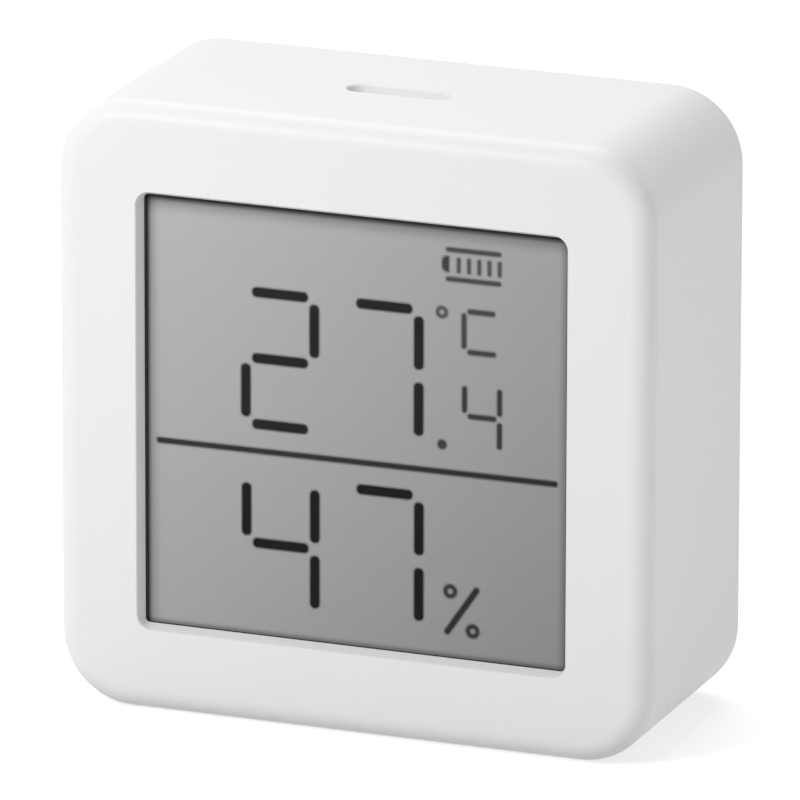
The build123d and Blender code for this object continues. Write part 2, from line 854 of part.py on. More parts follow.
# Battery cover with its hooks, magnet frames and the pocket of the kickstand
pocket_skirt = pocket_base - finger_notch_radius
trough_bottom = hinge_axis_depth - barrel_radius - pocket_end_gap
trough_base = stand_hinge_height - barrel_radius - pocket_end_gap
with BuildPart() as battery_cover:
    with BuildSketch(at_depth(back_face)):
        with Locations((0, middle)):
            RectangleRounded(
                cavity_width - 2 * cover_edge_gap,
                cavity_height - 2 * cover_edge_gap,
                cavity_radius - cover_edge_gap,
            )
    extrude(amount=cover_thickness)
    chamfer(battery_cover.faces().sort_by(Axis.Y)[-1].edges(), cover_edge)

    # Walls of the pocket on the inner side, deeper at the hinge
    with BuildSketch(at_depth(cover_inside)):
        with Locations((0, (pocket_top + pocket_skirt) / 2)):
            Rectangle(pocket_width + 2 * pocket_wall, pocket_top - pocket_skirt + 2 * pocket_wall)
    extrude(amount=cover_inside - pocket_inside)
    with BuildSketch(at_depth(cover_inside)):
        with Locations((0, (pocket_top + trough_base) / 2)):
            Rectangle(pocket_width + 2 * pocket_wall, pocket_top - trough_base + 2 * pocket_wall)
    extrude(amount=cover_inside - trough_bottom + pocket_floor)

    # Frames for the magnets
    with BuildSketch(at_depth(cover_inside)):
        for room, mode in ((magnet_gap + magnet_rim, Mode.ADD), (magnet_gap, Mode.SUBTRACT)):
            with Locations(magnet_places):
                Rectangle(magnet_length + 2 * room, magnet_width + 2 * room, mode=mode)
    extrude(amount=magnet_thickness / 2)

    # Hooks that reach under the top wall of the housing
    with BuildSketch(at_depth(cover_inside)):
        for hook_x in hook_places:
            with Locations((hook_x, cover_top - hook_thickness / 2)):
                Rectangle(hook_width, hook_thickness)
    extrude(amount=hook_drop)
    with BuildSketch(at_depth(cover_inside - hook_drop + hook_tip)):
        for hook_x in hook_places:
            with Locations((hook_x, cover_top + hook_reach / 2 - hook_thickness / 2)):
                Rectangle(hook_width, hook_reach + hook_thickness)
    extrude(amount=hook_tip)

    # Pocket of the kickstand with its hinge trough, sockets and finger notch
    with BuildSketch(at_depth(back_face)) as pocket:
        with Locations((0, (pocket_top + pocket_base) / 2)):
            Rectangle(pocket_width, pocket_top - pocket_base)
        fillet(pocket.vertices().group_by(Axis.Y)[0], stand_corner_radius + stand_side_gap)
        with Locations((0, pocket_base)):
            Circle(finger_notch_radius)
    extrude(amount=back_face - pocket_bottom, mode=Mode.SUBTRACT)
    with BuildSketch(at_depth(back_face)):
        with Locations((0, (pocket_top + trough_base) / 2)):
            Rectangle(pocket_width, pocket_top - trough_base)
    extrude(amount=back_face - trough_bottom, mode=Mode.SUBTRACT)
    with BuildSketch(Plane.YZ):
        with Locations((hinge_axis_depth, stand_hinge_height)):
            Circle(trunnion_radius + trunnion_gap)
    extrude(amount=pocket_width / 2 + trunnion_length, both=True, mode=Mode.SUBTRACT)

    # Hole for the button, and a notch in the lower edge to lift the cover
    with BuildSketch(at_depth(back_face)):
        with Locations((0, button_place)):
            Circle(button_radius + button_gap)
    extrude(amount=cover_thickness, mode=Mode.SUBTRACT)
    with BuildSketch(at_depth(back_face)):
        with Locations((0, shell_wall + cover_edge_gap)):
            SlotOverall(2 * nail_notch_radius, 2 * nail_notch_depth)
    extrude(amount=cover_thickness, mode=Mode.SUBTRACT)
battery_cover.part.label = "battery_cover"

with BuildPart() as cover_magnets:
    with BuildSketch(at_depth(cover_inside)):
        with Locations(magnet_places):
            Rectangle(magnet_length, magnet_width)
    extrude(amount=magnet_thickness)
cover_magnets.part.label = "cover_magnets"


# Kickstand: a rimmed flap with a hinge barrel and moulded trunnions
with BuildPart() as kickstand:
    with BuildSketch(at_depth(stand_outside)) as flap:
        with Locations((0, (stand_hinge_height + stand_tip_height) / 2)):
            Rectangle(stand_width, stand_hinge_height - stand_tip_height)
        fillet(flap.vertices().group_by(Axis.Y)[0], stand_corner_radius)
    extrude(amount=stand_thickness)
    with BuildSketch(across(0)):
        with Locations((hinge_axis_depth, stand_hinge_height)):
            Circle(barrel_radius)
    extrude(amount=stand_width / 2, both=True)
    with BuildSketch(across(0)):
        with Locations((hinge_axis_depth, stand_hinge_height)):
            Circle(trunnion_radius)
    extrude(amount=stand_width / 2 + trunnion_length, both=True)
    relief_top = stand_hinge_height - barrel_radius - stand_rim
    relief_base = stand_tip_height + stand_rim
    with BuildSketch(at_depth(stand_inside + stand_relief)):
        with Locations((0, (relief_top + relief_base) / 2)):
            Rectangle(stand_width - 2 * stand_rim, relief_top - relief_base)
    extrude(amount=stand_relief + overrun, mode=Mode.SUBTRACT)
    with BuildSketch(at_depth(stand_outside + overrun)):
        with Locations((0, stand_tip_height + stand_rim)):
            with GridLocations(0, grip_pitch, 1, grip_grooves):
                Rectangle(stand_width * grip_length_share, grip_width)
    extrude(amount=overrun + grip_depth, mode=Mode.SUBTRACT)
kickstand.part.label = "kickstand"


def screws(places, seat, head_radius, head_height, shank_radius, shank_length):
    """Round-headed screws that face the back: a flat-sided shank and a crossed drive recess."""
    with BuildPart() as body:
        with BuildSketch(at_depth(seat + head_height)):
            with Locations(places):
                Circle(head_radius)
        extrude(amount=head_height)
        with BuildSketch(at_depth(seat)):
            with Locations(places):
                RegularPolygon(shank_radius, shank_sides)
        extrude(amount=shank_length)
        with BuildSketch(at_depth(seat + head_height)):
            with Locations(places):
                Rectangle(head_radius, drive_slot)
                Rectangle(drive_slot, head_radius)
        extrude(amount=drive_depth, mode=Mode.SUBTRACT)
    return body.part


case_screws = screws(
    case_post_places,
    tray_plate_back,
    case_screw_head_radius,
    case_screw_head,
    case_screw_radius,
    case_screw_length,
)
case_screws.label = "case_screws"
board_screws = screws(
    board_boss_places,
    board_back,
    board_screw_head_radius,
    board_screw_head,
    board_screw_radius,
    board_screw_length,
)
board_screws.label = "board_screws"

pieces = [
    front_housing.part,
    lcd_gasket.part,
    lcd_polarizer.part,
    lcd_front_glass.part,
    lcd_rear_glass.part,
    lcd_reflector.part,
    lcd_frame.part,
    zebra_connector.part,
    main_board.part,
    controller_chip,
    display_driver,
    crystals,
    chip_capacitors,
    board_antenna.part,
    humidity_sensor.part,
    sensor_seal.part,
    air_duct.part,
    vent_baffle.part,
    tact_switch.part,
    switch_plunger.part,
    rear_button.part,
    battery_tray.part,
    upper_cell,
    lower_cell,
    negative_contact,
    positive_contact,
    bridge_contact.part,
    upper_spring,
    lower_spring,
    battery_cover.part,
    cover_magnets.part,
    kickstand.part,
    case_screws,
    board_screws,
]
os.makedirs("parts", exist_ok=True)
for piece in pieces:
    export_step(piece, f"parts/{piece.label}.step")
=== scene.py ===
from math import cos, pi, radians, sin, tau

import bmesh
import bpy
from bpy.props import (
    FloatProperty,
    FloatVectorProperty,
    IntProperty,
    PointerProperty,
    StringProperty,
)
from mathutils import Matrix, Vector


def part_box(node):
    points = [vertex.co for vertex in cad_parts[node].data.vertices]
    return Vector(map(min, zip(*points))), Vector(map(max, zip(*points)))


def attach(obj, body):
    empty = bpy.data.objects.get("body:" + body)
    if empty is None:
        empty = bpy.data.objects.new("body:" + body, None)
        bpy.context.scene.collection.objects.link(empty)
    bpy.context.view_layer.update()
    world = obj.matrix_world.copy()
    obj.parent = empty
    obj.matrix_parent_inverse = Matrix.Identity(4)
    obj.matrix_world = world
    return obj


bl_info = {
    "name": "Desk Climate Sensor",
    "version": (1, 0, 0),
    "blender": (4, 5, 0),
    "location": "View3D > Sidebar > Climate Sensor",
    "description": "Finishes and display symbols of a small temperature and humidity sensor",
    "category": "Object",
}

MM = 0.001
WHITE = (1.0, 1.0, 1.0, 1.0)

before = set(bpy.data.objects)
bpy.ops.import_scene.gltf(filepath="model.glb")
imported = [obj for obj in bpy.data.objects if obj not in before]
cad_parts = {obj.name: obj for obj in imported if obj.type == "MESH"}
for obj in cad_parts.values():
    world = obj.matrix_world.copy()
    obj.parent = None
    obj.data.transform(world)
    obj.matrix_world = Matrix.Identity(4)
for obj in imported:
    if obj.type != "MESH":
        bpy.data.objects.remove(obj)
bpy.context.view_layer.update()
film_low, film_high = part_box("lcd_polarizer")
housing_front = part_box("front_housing")[0].y


# Settings that a user would change

class ShellSettings(bpy.types.PropertyGroup):
    """White moulded plastic of the housing, its cover, its stand and its button"""

    colour: FloatVectorProperty(
        name="Shell Colour",
        description="Colour of the white moulded plastic",
        subtype="COLOR",
        min=0.0,
        max=1.0,
        default=(0.872, 0.866, 0.868),
    )
    roughness: FloatProperty(
        name="Shell Roughness",
        description="Roughness of the satin moulded surface",
        subtype="FACTOR",
        min=0.0,
        max=1.0,
        default=0.42,
    )
    # Painted shade: the share of the shell's colour that the window's walls and the baffle in the
    # top slot keep, darker where shade falls in these recesses
    recess_painted_shade: FloatProperty(
        name="Recess Painted Shade",
        description="Tone of the window's walls and of the baffle, as a share of the shell's",
        subtype="FACTOR",
        min=0.0,
        max=1.0,
        default=0.96,
    )
    grain: FloatProperty(
        name="Grain Size",
        description="Distance between the grains of the moulded texture",
        unit="LENGTH",
        min=0.00002,
        max=0.002,
        default=0.16 * MM,
    )
    grain_depth: FloatProperty(
        name="Grain Depth",
        description="Depth of the moulded texture",
        unit="LENGTH",
        min=0.0,
        max=0.0005,
        default=0.002 * MM,
    )


class DisplaySettings(bpy.types.PropertyGroup):
    """Reflective segment display with its symbols"""

    # Painted shading: the film is blended from this light tone at its upper left to the dark tone
    # at its lower right, as if less light fell on the lower right
    film_light: FloatVectorProperty(
        name="Film Light Tone",
        description="Tone of the display film at its upper left corner",
        subtype="COLOR",
        min=0.0,
        max=1.0,
        default=(0.492, 0.489, 0.489),
    )
    film_dark: FloatVectorProperty(
        name="Film Dark Tone",
        description="Tone of the display film at its lower right corner",
        subtype="COLOR",
        min=0.0,
        max=1.0,
        default=(0.274, 0.272, 0.272),
    )
    ink: FloatVectorProperty(
        name="Segment Colour",
        description="Colour of a segment that is switched on",
        subtype="COLOR",
        min=0.0,
        max=1.0,
        default=(0.008, 0.01, 0.0095),
    )
    stroke: FloatProperty(
        name="Large Stroke",
        description="Width of the segments of the large digits",
        unit="LENGTH",
        min=0.0002,
        max=0.003,
        default=0.955 * MM,
    )
    small_stroke: FloatProperty(
        name="Small Stroke",
        description="Width of the segments of the small digits",
        unit="LENGTH",
        min=0.0001,
        max=0.002,
        default=0.53 * MM,
    )
    blur: FloatProperty(
        name="Segment Edge",
        description="Width of the soft edge of a segment",
        unit="LENGTH",
        min=0.0,
        max=0.0004,
        default=0.26 * MM,
    )


class InsideSettings(bpy.types.PropertyGroup):
    """Parts that show when the battery cover is open"""

    sleeve: FloatVectorProperty(
        name="Cell Sleeve",
        description="Colour of the film sleeve of the cells",
        subtype="COLOR",
        min=0.0,
        max=1.0,
        default=(0.02, 0.022, 0.026),
    )
    band: FloatVectorProperty(
        name="Cell Band",
        description="Colour of the band at the positive end of the cells",
        subtype="COLOR",
        min=0.0,
        max=1.0,
        default=(0.62, 0.36, 0.16),
    )
    mask: FloatVectorProperty(
        name="Solder Mask",
        description="Colour of the coating of the circuit board",
        subtype="COLOR",
        min=0.0,
        max=1.0,
        default=(0.012, 0.09, 0.035),
    )


class StageSettings(bpy.types.PropertyGroup):
    """Floor, lamps and camera"""

    key_power: FloatProperty(
        name="Key Lamp",
        description="Power of the soft lamp in front, on the left",
        unit="POWER",
        min=0.0,
        max=20.0,
        default=0.445,
    )
    top_power: FloatProperty(
        name="Top Lamp",
        description="Power of the soft lamp above, behind and on the left",
        unit="POWER",
        min=0.0,
        max=20.0,
        default=1.049,
    )
    fill_power: FloatProperty(
        name="Fill Lamp",
        description="Power of the weak lamp close by on the right",
        unit="POWER",
        min=0.0,
        max=20.0,
        default=0.0025,
    )
    sky: FloatProperty(
        name="Surrounding Light",
        description="Strength of the even light from all sides",
        min=0.0,
        max=2.0,
        default=0.4855,
    )
    floor: FloatVectorProperty(
        name="Floor Colour",
        description="Colour of the pale floor",
        subtype="COLOR",
        min=0.0,
        max=1.0,
        default=(0.8, 0.8, 0.8),
    )
    lens: FloatProperty(
        name="Lens",
        description="Focal length of the camera on a 36 mm sensor",
        unit="CAMERA",
        min=50.0,
        max=2000.0,
        default=554.14,
    )


# Shader node groups that several materials share. Their scales are counts per metre.

EFFECT_OUTPUTS = (
    ("Colour", "NodeSocketColor"),
    ("Roughness", "NodeSocketFloat"),
    ("Height", "NodeSocketFloat"),
)
# Sockets of the mix node that are for colours, by number because its names repeat
MIX_FIRST_COLOUR = 6
MIX_SECOND_COLOUR = 7
MIX_COLOUR = 2
NOISE_EDGES = (0.3, 0.7)
METAL_CLOUD_SCALE = 400.0
METAL_CLOUD_EDGES = (0.45, 0.7)
METAL_STREAK_CHANGE = 0.16
METAL_DULL_DARKENING = 0.4
METAL_DULL_ROUGHENING = 0.35
FLECK_EDGES = (0.15, 0.55)
FLECK_SMOOTHING = -0.15


def new_effect(name, inputs):
    """An empty node group with these inputs and an effect's outputs, and its two ends."""
    group = bpy.data.node_groups.new(name, "ShaderNodeTree")
    for label, kind, default in inputs:
        socket = group.interface.new_socket(label, in_out="INPUT", socket_type=kind)
        socket.default_value = default
    for label, kind in EFFECT_OUTPUTS:
        group.interface.new_socket(label, in_out="OUTPUT", socket_type=kind)
    start = group.nodes.new("NodeGroupInput")
    end = group.nodes.new("NodeGroupOutput")
    return group, start.outputs, end.inputs


def add(tree, kind, settings=None, inputs=None):
    """A new node with its settings, and with values or links for its named or numbered inputs."""
    node = tree.nodes.new(kind)
    for key, value in (settings or {}).items():
        setattr(node, key, value)
    for key, value in (inputs or {}).items():
        if isinstance(value, bpy.types.NodeSocket):
            tree.links.new(value, node.inputs[key])
        else:
            node.inputs[key].default_value = value
    return node


def maths(tree, operation, *values):
    """The result of one sum on values or sockets."""
    inputs = dict(enumerate(values))
    return add(tree, "ShaderNodeMath", {"operation": operation}, inputs).outputs[0]


def ramp(tree, value, low, high, low_result, high_result, kind="SMOOTHSTEP"):
    """A value carried from one range to another, smoothly unless another kind is given."""
    inputs = {
        "Value": value,
        "From Min": low,
        "From Max": high,
        "To Min": low_result,
        "To Max": high_result,
    }
    return add(tree, "ShaderNodeMapRange", {"interpolation_type": kind}, inputs).outputs["Result"]


def toned(tree, colour, value):
    """A colour made lighter or darker by a value."""
    inputs = {"Color": colour, "Value": value}
    return add(tree, "ShaderNodeHueSaturation", None, inputs).outputs["Color"]


def blended(tree, share, first, second):
    """A blend of two colours by a share."""
    inputs = {0: share, MIX_FIRST_COLOUR: first, MIX_SECOND_COLOUR: second}
    return add(tree, "ShaderNodeMix", {"data_type": "RGBA"}, inputs).outputs[MIX_COLOUR]


def place_in_object(tree):
    """The place on the object, in metres, which moves with its piece."""
    return add(tree, "ShaderNodeTexCoord").outputs["Object"]


def split_place(tree):
    """The place on the object as its three numbers."""
    return add(tree, "ShaderNodeSeparateXYZ", None, {"Vector": place_in_object(tree)}).outputs


def noise(tree, place, scale, detail=2.0):
    """A cloudy value round one half."""
    inputs = {"Vector": place, "Scale": scale, "Detail": detail}
    return add(tree, "ShaderNodeTexNoise", None, inputs).outputs[0]


def inside_box(tree, low, high):
    """A mask that is one inside a box on the object, and zero outside."""
    split = split_place(tree)
    mask = 1.0
    for axis, lowest, highest in zip("XYZ", low, high):
        half = (highest - lowest) / 2
        near = maths(tree, "COMPARE", split[axis], lowest + half, half)
        mask = maths(tree, "MULTIPLY", near, mask)
    return mask


def moulded_skin_group():
    """Moulded plastic: a fine grain, and slow changes in tone and gloss."""
    group, given, made = new_effect(
        "moulded_skin",
        [
            ("Colour", "NodeSocketColor", (0.8, 0.8, 0.8, 1.0)),
            ("Grain Size", "NodeSocketFloat", 0.16 * MM),
            ("Patch Size", "NodeSocketFloat", 14.0 * MM),
            ("Tone Change", "NodeSocketFloat", 0.01),
            ("Roughness", "NodeSocketFloat", 0.45),
            ("Roughness Change", "NodeSocketFloat", 0.05),
        ],
    )
    place = place_in_object(group)
    grain = noise(group, place, maths(group, "DIVIDE", 1.0, given["Grain Size"]))
    patch = noise(group, place, maths(group, "DIVIDE", 1.0, given["Patch Size"]), detail=3.0)
    swing = maths(group, "SUBTRACT", patch, 0.5)
    tone = maths(group, "MULTIPLY_ADD", swing, given["Tone Change"], 1.0)
    rough = maths(group, "MULTIPLY_ADD", swing, given["Roughness Change"], given["Roughness"])
    group.links.new(toned(group, given["Colour"], tone), made["Colour"])
    group.links.new(rough, made["Roughness"])
    group.links.new(grain, made["Height"])
    return group


def drawn_metal_group():
    """Rolled or drawn metal: fine streaks along X and dull patches."""
    group, given, made = new_effect(
        "drawn_metal",
        [
            ("Colour", "NodeSocketColor", (0.6, 0.6, 0.6, 1.0)),
            ("Streak Size", "NodeSocketFloat", 0.1 * MM),
            ("Stretch", "NodeSocketFloat", 12.0),
            ("Dull Share", "NodeSocketFloat", 0.2),
            ("Roughness", "NodeSocketFloat", 0.3),
        ],
    )
    place = place_in_object(group)
    squeeze = {"X": maths(group, "DIVIDE", 1.0, given["Stretch"]), "Y": 1.0, "Z": 1.0}
    factors = add(group, "ShaderNodeCombineXYZ", None, squeeze).outputs[0]
    drawn_out = add(
        group, "ShaderNodeVectorMath", {"operation": "MULTIPLY"}, {0: place, 1: factors}
    ).outputs[0]
    fineness = maths(group, "DIVIDE", 1.0, given["Streak Size"])
    streak = noise(group, drawn_out, fineness, detail=3.0)
    cloud = noise(group, place, METAL_CLOUD_SCALE, detail=4.0)
    dull = ramp(group, cloud, *METAL_CLOUD_EDGES, 0.0, 1.0)
    dull = maths(group, "MULTIPLY", dull, given["Dull Share"])
    streaked = maths(
        group, "MULTIPLY_ADD", streak, METAL_STREAK_CHANGE, 1 - METAL_STREAK_CHANGE / 2
    )
    darker = maths(group, "MULTIPLY", dull, METAL_DULL_DARKENING)
    tone = maths(group, "SUBTRACT", streaked, darker)
    rough = maths(group, "MULTIPLY_ADD", dull, METAL_DULL_ROUGHENING, given["Roughness"])
    group.links.new(toned(group, given["Colour"], tone), made["Colour"])
    group.links.new(rough, made["Roughness"])
    group.links.new(streak, made["Height"])
    return group


def flecked_group():
    """Small cells or flecks, as in foam, ceramic, resin packages and glass cloth."""
    group, given, made = new_effect(
        "flecked",
        [
            ("Colour", "NodeSocketColor", (0.1, 0.1, 0.1, 1.0)),
            ("Fleck Colour", "NodeSocketColor", (0.2, 0.2, 0.2, 1.0)),
            ("Cell Size", "NodeSocketFloat", 0.2 * MM),
            ("Fleck Share", "NodeSocketFloat", 0.3),
            ("Roughness", "NodeSocketFloat", 0.6),
        ],
    )
    scale = maths(group, "DIVIDE", 1.0, given["Cell Size"])
    inputs = {"Vector": place_in_object(group), "Scale": scale}
    height = add(group, "ShaderNodeTexVoronoi", None, inputs).outputs["Distance"]
    fleck = ramp(group, height, *FLECK_EDGES, 1.0, 0.0)
    fleck = maths(group, "MULTIPLY", fleck, given["Fleck Share"])
    rough = maths(group, "MULTIPLY_ADD", fleck, FLECK_SMOOTHING, given["Roughness"])
    group.links.new(blended(group, fleck, given["Colour"], given["Fleck Colour"]), made["Colour"])
    group.links.new(rough, made["Roughness"])
    group.links.new(height, made["Height"])
    return group


SHARED_EFFECTS = {
    "moulded_skin": moulded_skin_group,
    "drawn_metal": drawn_metal_group,
    "flecked": flecked_group,
}


def shared_effect(tree, name, values):
    """The outputs of a shared node group, which is built the first time that it is needed."""
    group = bpy.data.node_groups.get(name) or SHARED_EFFECTS[name]()
    return add(tree, "ShaderNodeGroup", {"node_tree": group}, values).outputs


# Materials

PLASTIC_TONE_CHANGE = 0.012
METAL_RELIEF = 0.003 * MM
WINDOW_MOUTH = housing_front + 0.015 * MM
WINDOW_FLOOR = film_low.y + 0.1 * MM
# Painted shading of the film: how much darker it is made across to the right and down to the
# bottom
FILM_FALL_ACROSS = 0.55
FILM_FALL_DOWN = 0.45
FILM_LAP = 0.9 * MM
FILM_GRAIN = 0.05 * MM
FILM_RELIEF = 0.0005 * MM
INK_GRAIN = 0.4 * MM
INK_TONES = (0.8, 1.2)
GLASS_HAZE_SCALE = 120.0
ELASTOMER_PITCH = 0.6283 * MM
TRACE_HALF_WIDTH = 0.12 * MM
TRACE_LENGTH = 6.4 * MM
TRACE_PITCH = 0.9 * MM
TRACE_RELIEF = 0.03 * MM
CLOTH_CELL = 0.35 * MM
CELL_GRAIN = 0.3 * MM
CELL_RELIEF = 0.004 * MM

# Where the band and the bare metal of a cell end, from the tip of its nub or from its base
CELL_BAND = (10.9 * MM, 11.0 * MM)
CELL_BARE_BASE = (0.45 * MM, 0.5 * MM)
CELL_BARE_NUB = (1.55 * MM, 1.6 * MM)
CELL_BAND_METAL_SHARE = 0.6

# Radians that the wave texture turns through per metre at a scale of one
WAVE_RATE = 20.0

# Shade on the film beside the window's walls: the axis, 1 from its low side or -1 from its
# high side, how far the shade reaches, and the share of the tone that is left at the wall
FILM_SHADES = (
    ("X", 1, 0.55 * MM, 0.1),
    ("X", 1, 1.5 * MM, 0.6),
    ("X", -1, 0.8 * MM, 0.65),
    ("Z", 1, 0.5 * MM, 0.58),
    ("Z", -1, 0.6 * MM, 0.1),
    ("Z", -1, 1.8 * MM, 0.55),
)


def new_material(name):
    """A new node material, with its node tree and its shader."""
    material = bpy.data.materials.new(name)
    material.use_nodes = True
    tree = material.node_tree
    return material, tree, tree.nodes["Principled BSDF"]


def solid(colour):
    """A colour with full cover."""
    return (*colour[:3], 1.0)


def relief(tree, shader, height, depth):
    """A bump of the given depth in metres, from a height."""
    bump = add(tree, "ShaderNodeBump", None, {"Height": height, "Distance": depth})
    tree.links.new(bump.outputs["Normal"], shader.inputs["Normal"])


def apply_effect(tree, shader, effect, values, depth):
    """Gives a shader its colour, roughness and relief from one shared effect."""
    made = shared_effect(tree, effect, values)
    tree.links.new(made["Colour"], shader.inputs["Base Color"])
    tree.links.new(made["Roughness"], shader.inputs["Roughness"])
    relief(tree, shader, made["Height"], depth)


def effect_material(name, effect, values, depth, metallic=0.0):
    """A material whose colour, roughness and relief come from one shared effect."""
    material, tree, shader = new_material(name)
    shader.inputs["Metallic"].default_value = metallic
    apply_effect(tree, shader, effect, values, depth)
    return material


def plastic(name, colour, roughness, grain, grain_depth, tone_change=PLASTIC_TONE_CHANGE):
    """Moulded plastic with a fine grain."""
    values = {
        "Colour": solid(colour),
        "Grain Size": grain,
        "Roughness": roughness,
        "Tone Change": tone_change,
    }
    return effect_material(name, "moulded_skin", values, grain_depth)


def metal(name, colour, roughness, streak, dull, stretch=12.0):
    """Bare or plated metal with fine streaks."""
    values = {
        "Colour": solid(colour),
        "Roughness": roughness,
        "Streak Size": streak,
        "Dull Share": dull,
        "Stretch": stretch,
    }
    return effect_material(name, "drawn_metal", values, METAL_RELIEF, metallic=1.0)


def flecked(name, colour, fleck, cell, share, roughness, depth):
    """A material of small cells or flecks."""
    values = {
        "Colour": solid(colour),
        "Fleck Colour": solid(fleck),
        "Cell Size": cell,
        "Fleck Share": share,
        "Roughness": roughness,
    }
    return effect_material(name, "flecked", values, depth)


def dress(material, *nodes):
    """Gives one material to these nodes of the frame."""
    for node in nodes:
        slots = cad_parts[node].data.materials
        slots.clear()
        slots.append(material)


def shell_material(settings):
    """Moulded plastic with painted shade on the walls of the window, which are made darker."""
    material, tree, shader = new_material("shell_plastic")
    window_low = (film_low.x, WINDOW_MOUTH, film_low.z)
    window_high = (film_high.x, WINDOW_FLOOR, film_high.z)
    # Painted shade on the window's walls, where the recess lies in shade
    window = inside_box(tree, window_low, window_high)
    tone = ramp(tree, window, 0.0, 1.0, 1.0, settings.recess_painted_shade, "LINEAR")
    values = {
        "Colour": toned(tree, solid(settings.colour), tone),
        "Grain Size": settings.grain,
        "Roughness": settings.roughness,
        "Tone Change": PLASTIC_TONE_CHANGE,
    }
    apply_effect(tree, shader, "moulded_skin", values, settings.grain_depth)
    shader.inputs["Specular IOR Level"].default_value = 0.35
    return material


def film_material(settings):
    """Polarising film with painted shade: darker to the lower right, and beside the window's
    walls.
    """
    material, tree, shader = new_material("display_film")
    split = split_place(tree)
    # Painted shade that falls off across and down the film
    across = ramp(tree, split["X"], film_low.x, film_high.x, 0.0, FILM_FALL_ACROSS, "LINEAR")
    down = ramp(tree, split["Z"], film_low.z, film_high.z, FILM_FALL_DOWN, 0.0, "LINEAR")
    fall = maths(tree, "ADD", across, down)
    tone = blended(tree, fall, solid(settings.film_light), solid(settings.film_dark))
    shade = 1.0
    for axis, side, reach, darkest in FILM_SHADES:
        border = (film_low if side > 0 else film_high)["XYZ".index(axis)]
        edge = border + side * FILM_LAP
        wall = ramp(tree, split[axis], edge, edge + side * reach, darkest, 1.0)
        shade = maths(tree, "MULTIPLY", wall, shade)
    values = {
        "Colour": toned(tree, tone, shade),
        "Grain Size": FILM_GRAIN,
        "Roughness": 0.32,
        "Tone Change": 0.02,
    }
    apply_effect(tree, shader, "moulded_skin", values, FILM_RELIEF)
    shader.inputs["Specular IOR Level"].default_value = 0.15
    return material


def segment_material(settings):
    """Segments that are switched on, which fade out over their soft edge.

    Light passes a segment on its way to the film and again on its way back, so each pass
    takes the square root of the light that is to be left.
    """
    material, tree, shader = new_material("segment_ink")
    grain = noise(tree, place_in_object(tree), 1 / INK_GRAIN)
    tone = ramp(tree, grain, *NOISE_EDGES, *INK_TONES)
    tree.links.new(toned(tree, solid(settings.ink), tone), shader.inputs["Base Color"])
    ink = add(tree, "ShaderNodeAttribute", {"attribute_name": "ink"}).outputs["Fac"]
    light_through = maths(tree, "POWER", maths(tree, "SUBTRACT", 1.0, ink), 0.5)
    tree.links.new(maths(tree, "SUBTRACT", 1.0, light_through), shader.inputs["Alpha"])
    shader.inputs["Roughness"].default_value = 0.4
    shader.inputs["Specular IOR Level"].default_value = 0.05
    return material


def glass_material():
    """Thin sheet glass with a faint grey tone."""
    material, tree, shader = new_material("display_glass")
    haze = noise(tree, place_in_object(tree), GLASS_HAZE_SCALE)
    tone = blended(tree, haze, (0.80, 0.84, 0.82, 1.0), (0.86, 0.9, 0.88, 1.0))
    tree.links.new(tone, shader.inputs["Base Color"])
    shader.inputs["Roughness"].default_value = 0.05
    shader.inputs["Transmission Weight"].default_value = 1.0
    shader.inputs["IOR"].default_value = 1.5
    return material


def striped_material():
    """Elastomer of alternate dark and pale layers along X."""
    material, tree, shader = new_material("striped_elastomer")
    wave = add(
        tree,
        "ShaderNodeTexWave",
        {"wave_type": "BANDS", "bands_direction": "X"},
        {
            "Vector": place_in_object(tree),
            "Scale": tau / (WAVE_RATE * ELASTOMER_PITCH),
            "Distortion": 0.3,
        },
    )
    tone = blended(tree, wave.outputs["Fac"], (0.03, 0.03, 0.03, 1.0), (0.55, 0.30, 0.24, 1.0))
    tree.links.new(tone, shader.inputs["Base Color"])
    shader.inputs["Roughness"].default_value = 0.6
    return material


def board_material(settings):
    """Solder mask over glass cloth, with traces that show as slightly paler lines."""
    material, tree, shader = new_material("circuit_board")
    tipped = {"Vector": place_in_object(tree), "Rotation": (pi / 2, 0.0, 0.0)}
    traces = add(
        tree,
        "ShaderNodeTexBrick",
        {"offset": 0.5, "squash": 1.6, "squash_frequency": 3},
        {
            "Vector": add(tree, "ShaderNodeMapping", None, tipped).outputs[0],
            "Scale": 1.0,
            "Mortar Size": TRACE_HALF_WIDTH,
            "Mortar Smooth": 0.1,
            "Brick Width": TRACE_LENGTH,
            "Row Height": TRACE_PITCH,
        },
    ).outputs["Fac"]
    cloth_values = {
        "Colour": solid(settings.mask),
        "Fleck Colour": (0.02, 0.12, 0.05, 1.0),
        "Cell Size": CLOTH_CELL,
        "Roughness": 0.38,
    }
    cloth = shared_effect(tree, "flecked", cloth_values)
    tone = blended(tree, traces, cloth["Colour"], (0.04, 0.2, 0.09, 1.0))
    tree.links.new(tone, shader.inputs["Base Color"])
    tree.links.new(cloth["Roughness"], shader.inputs["Roughness"])
    relief(tree, shader, traces, TRACE_RELIEF)
    return material


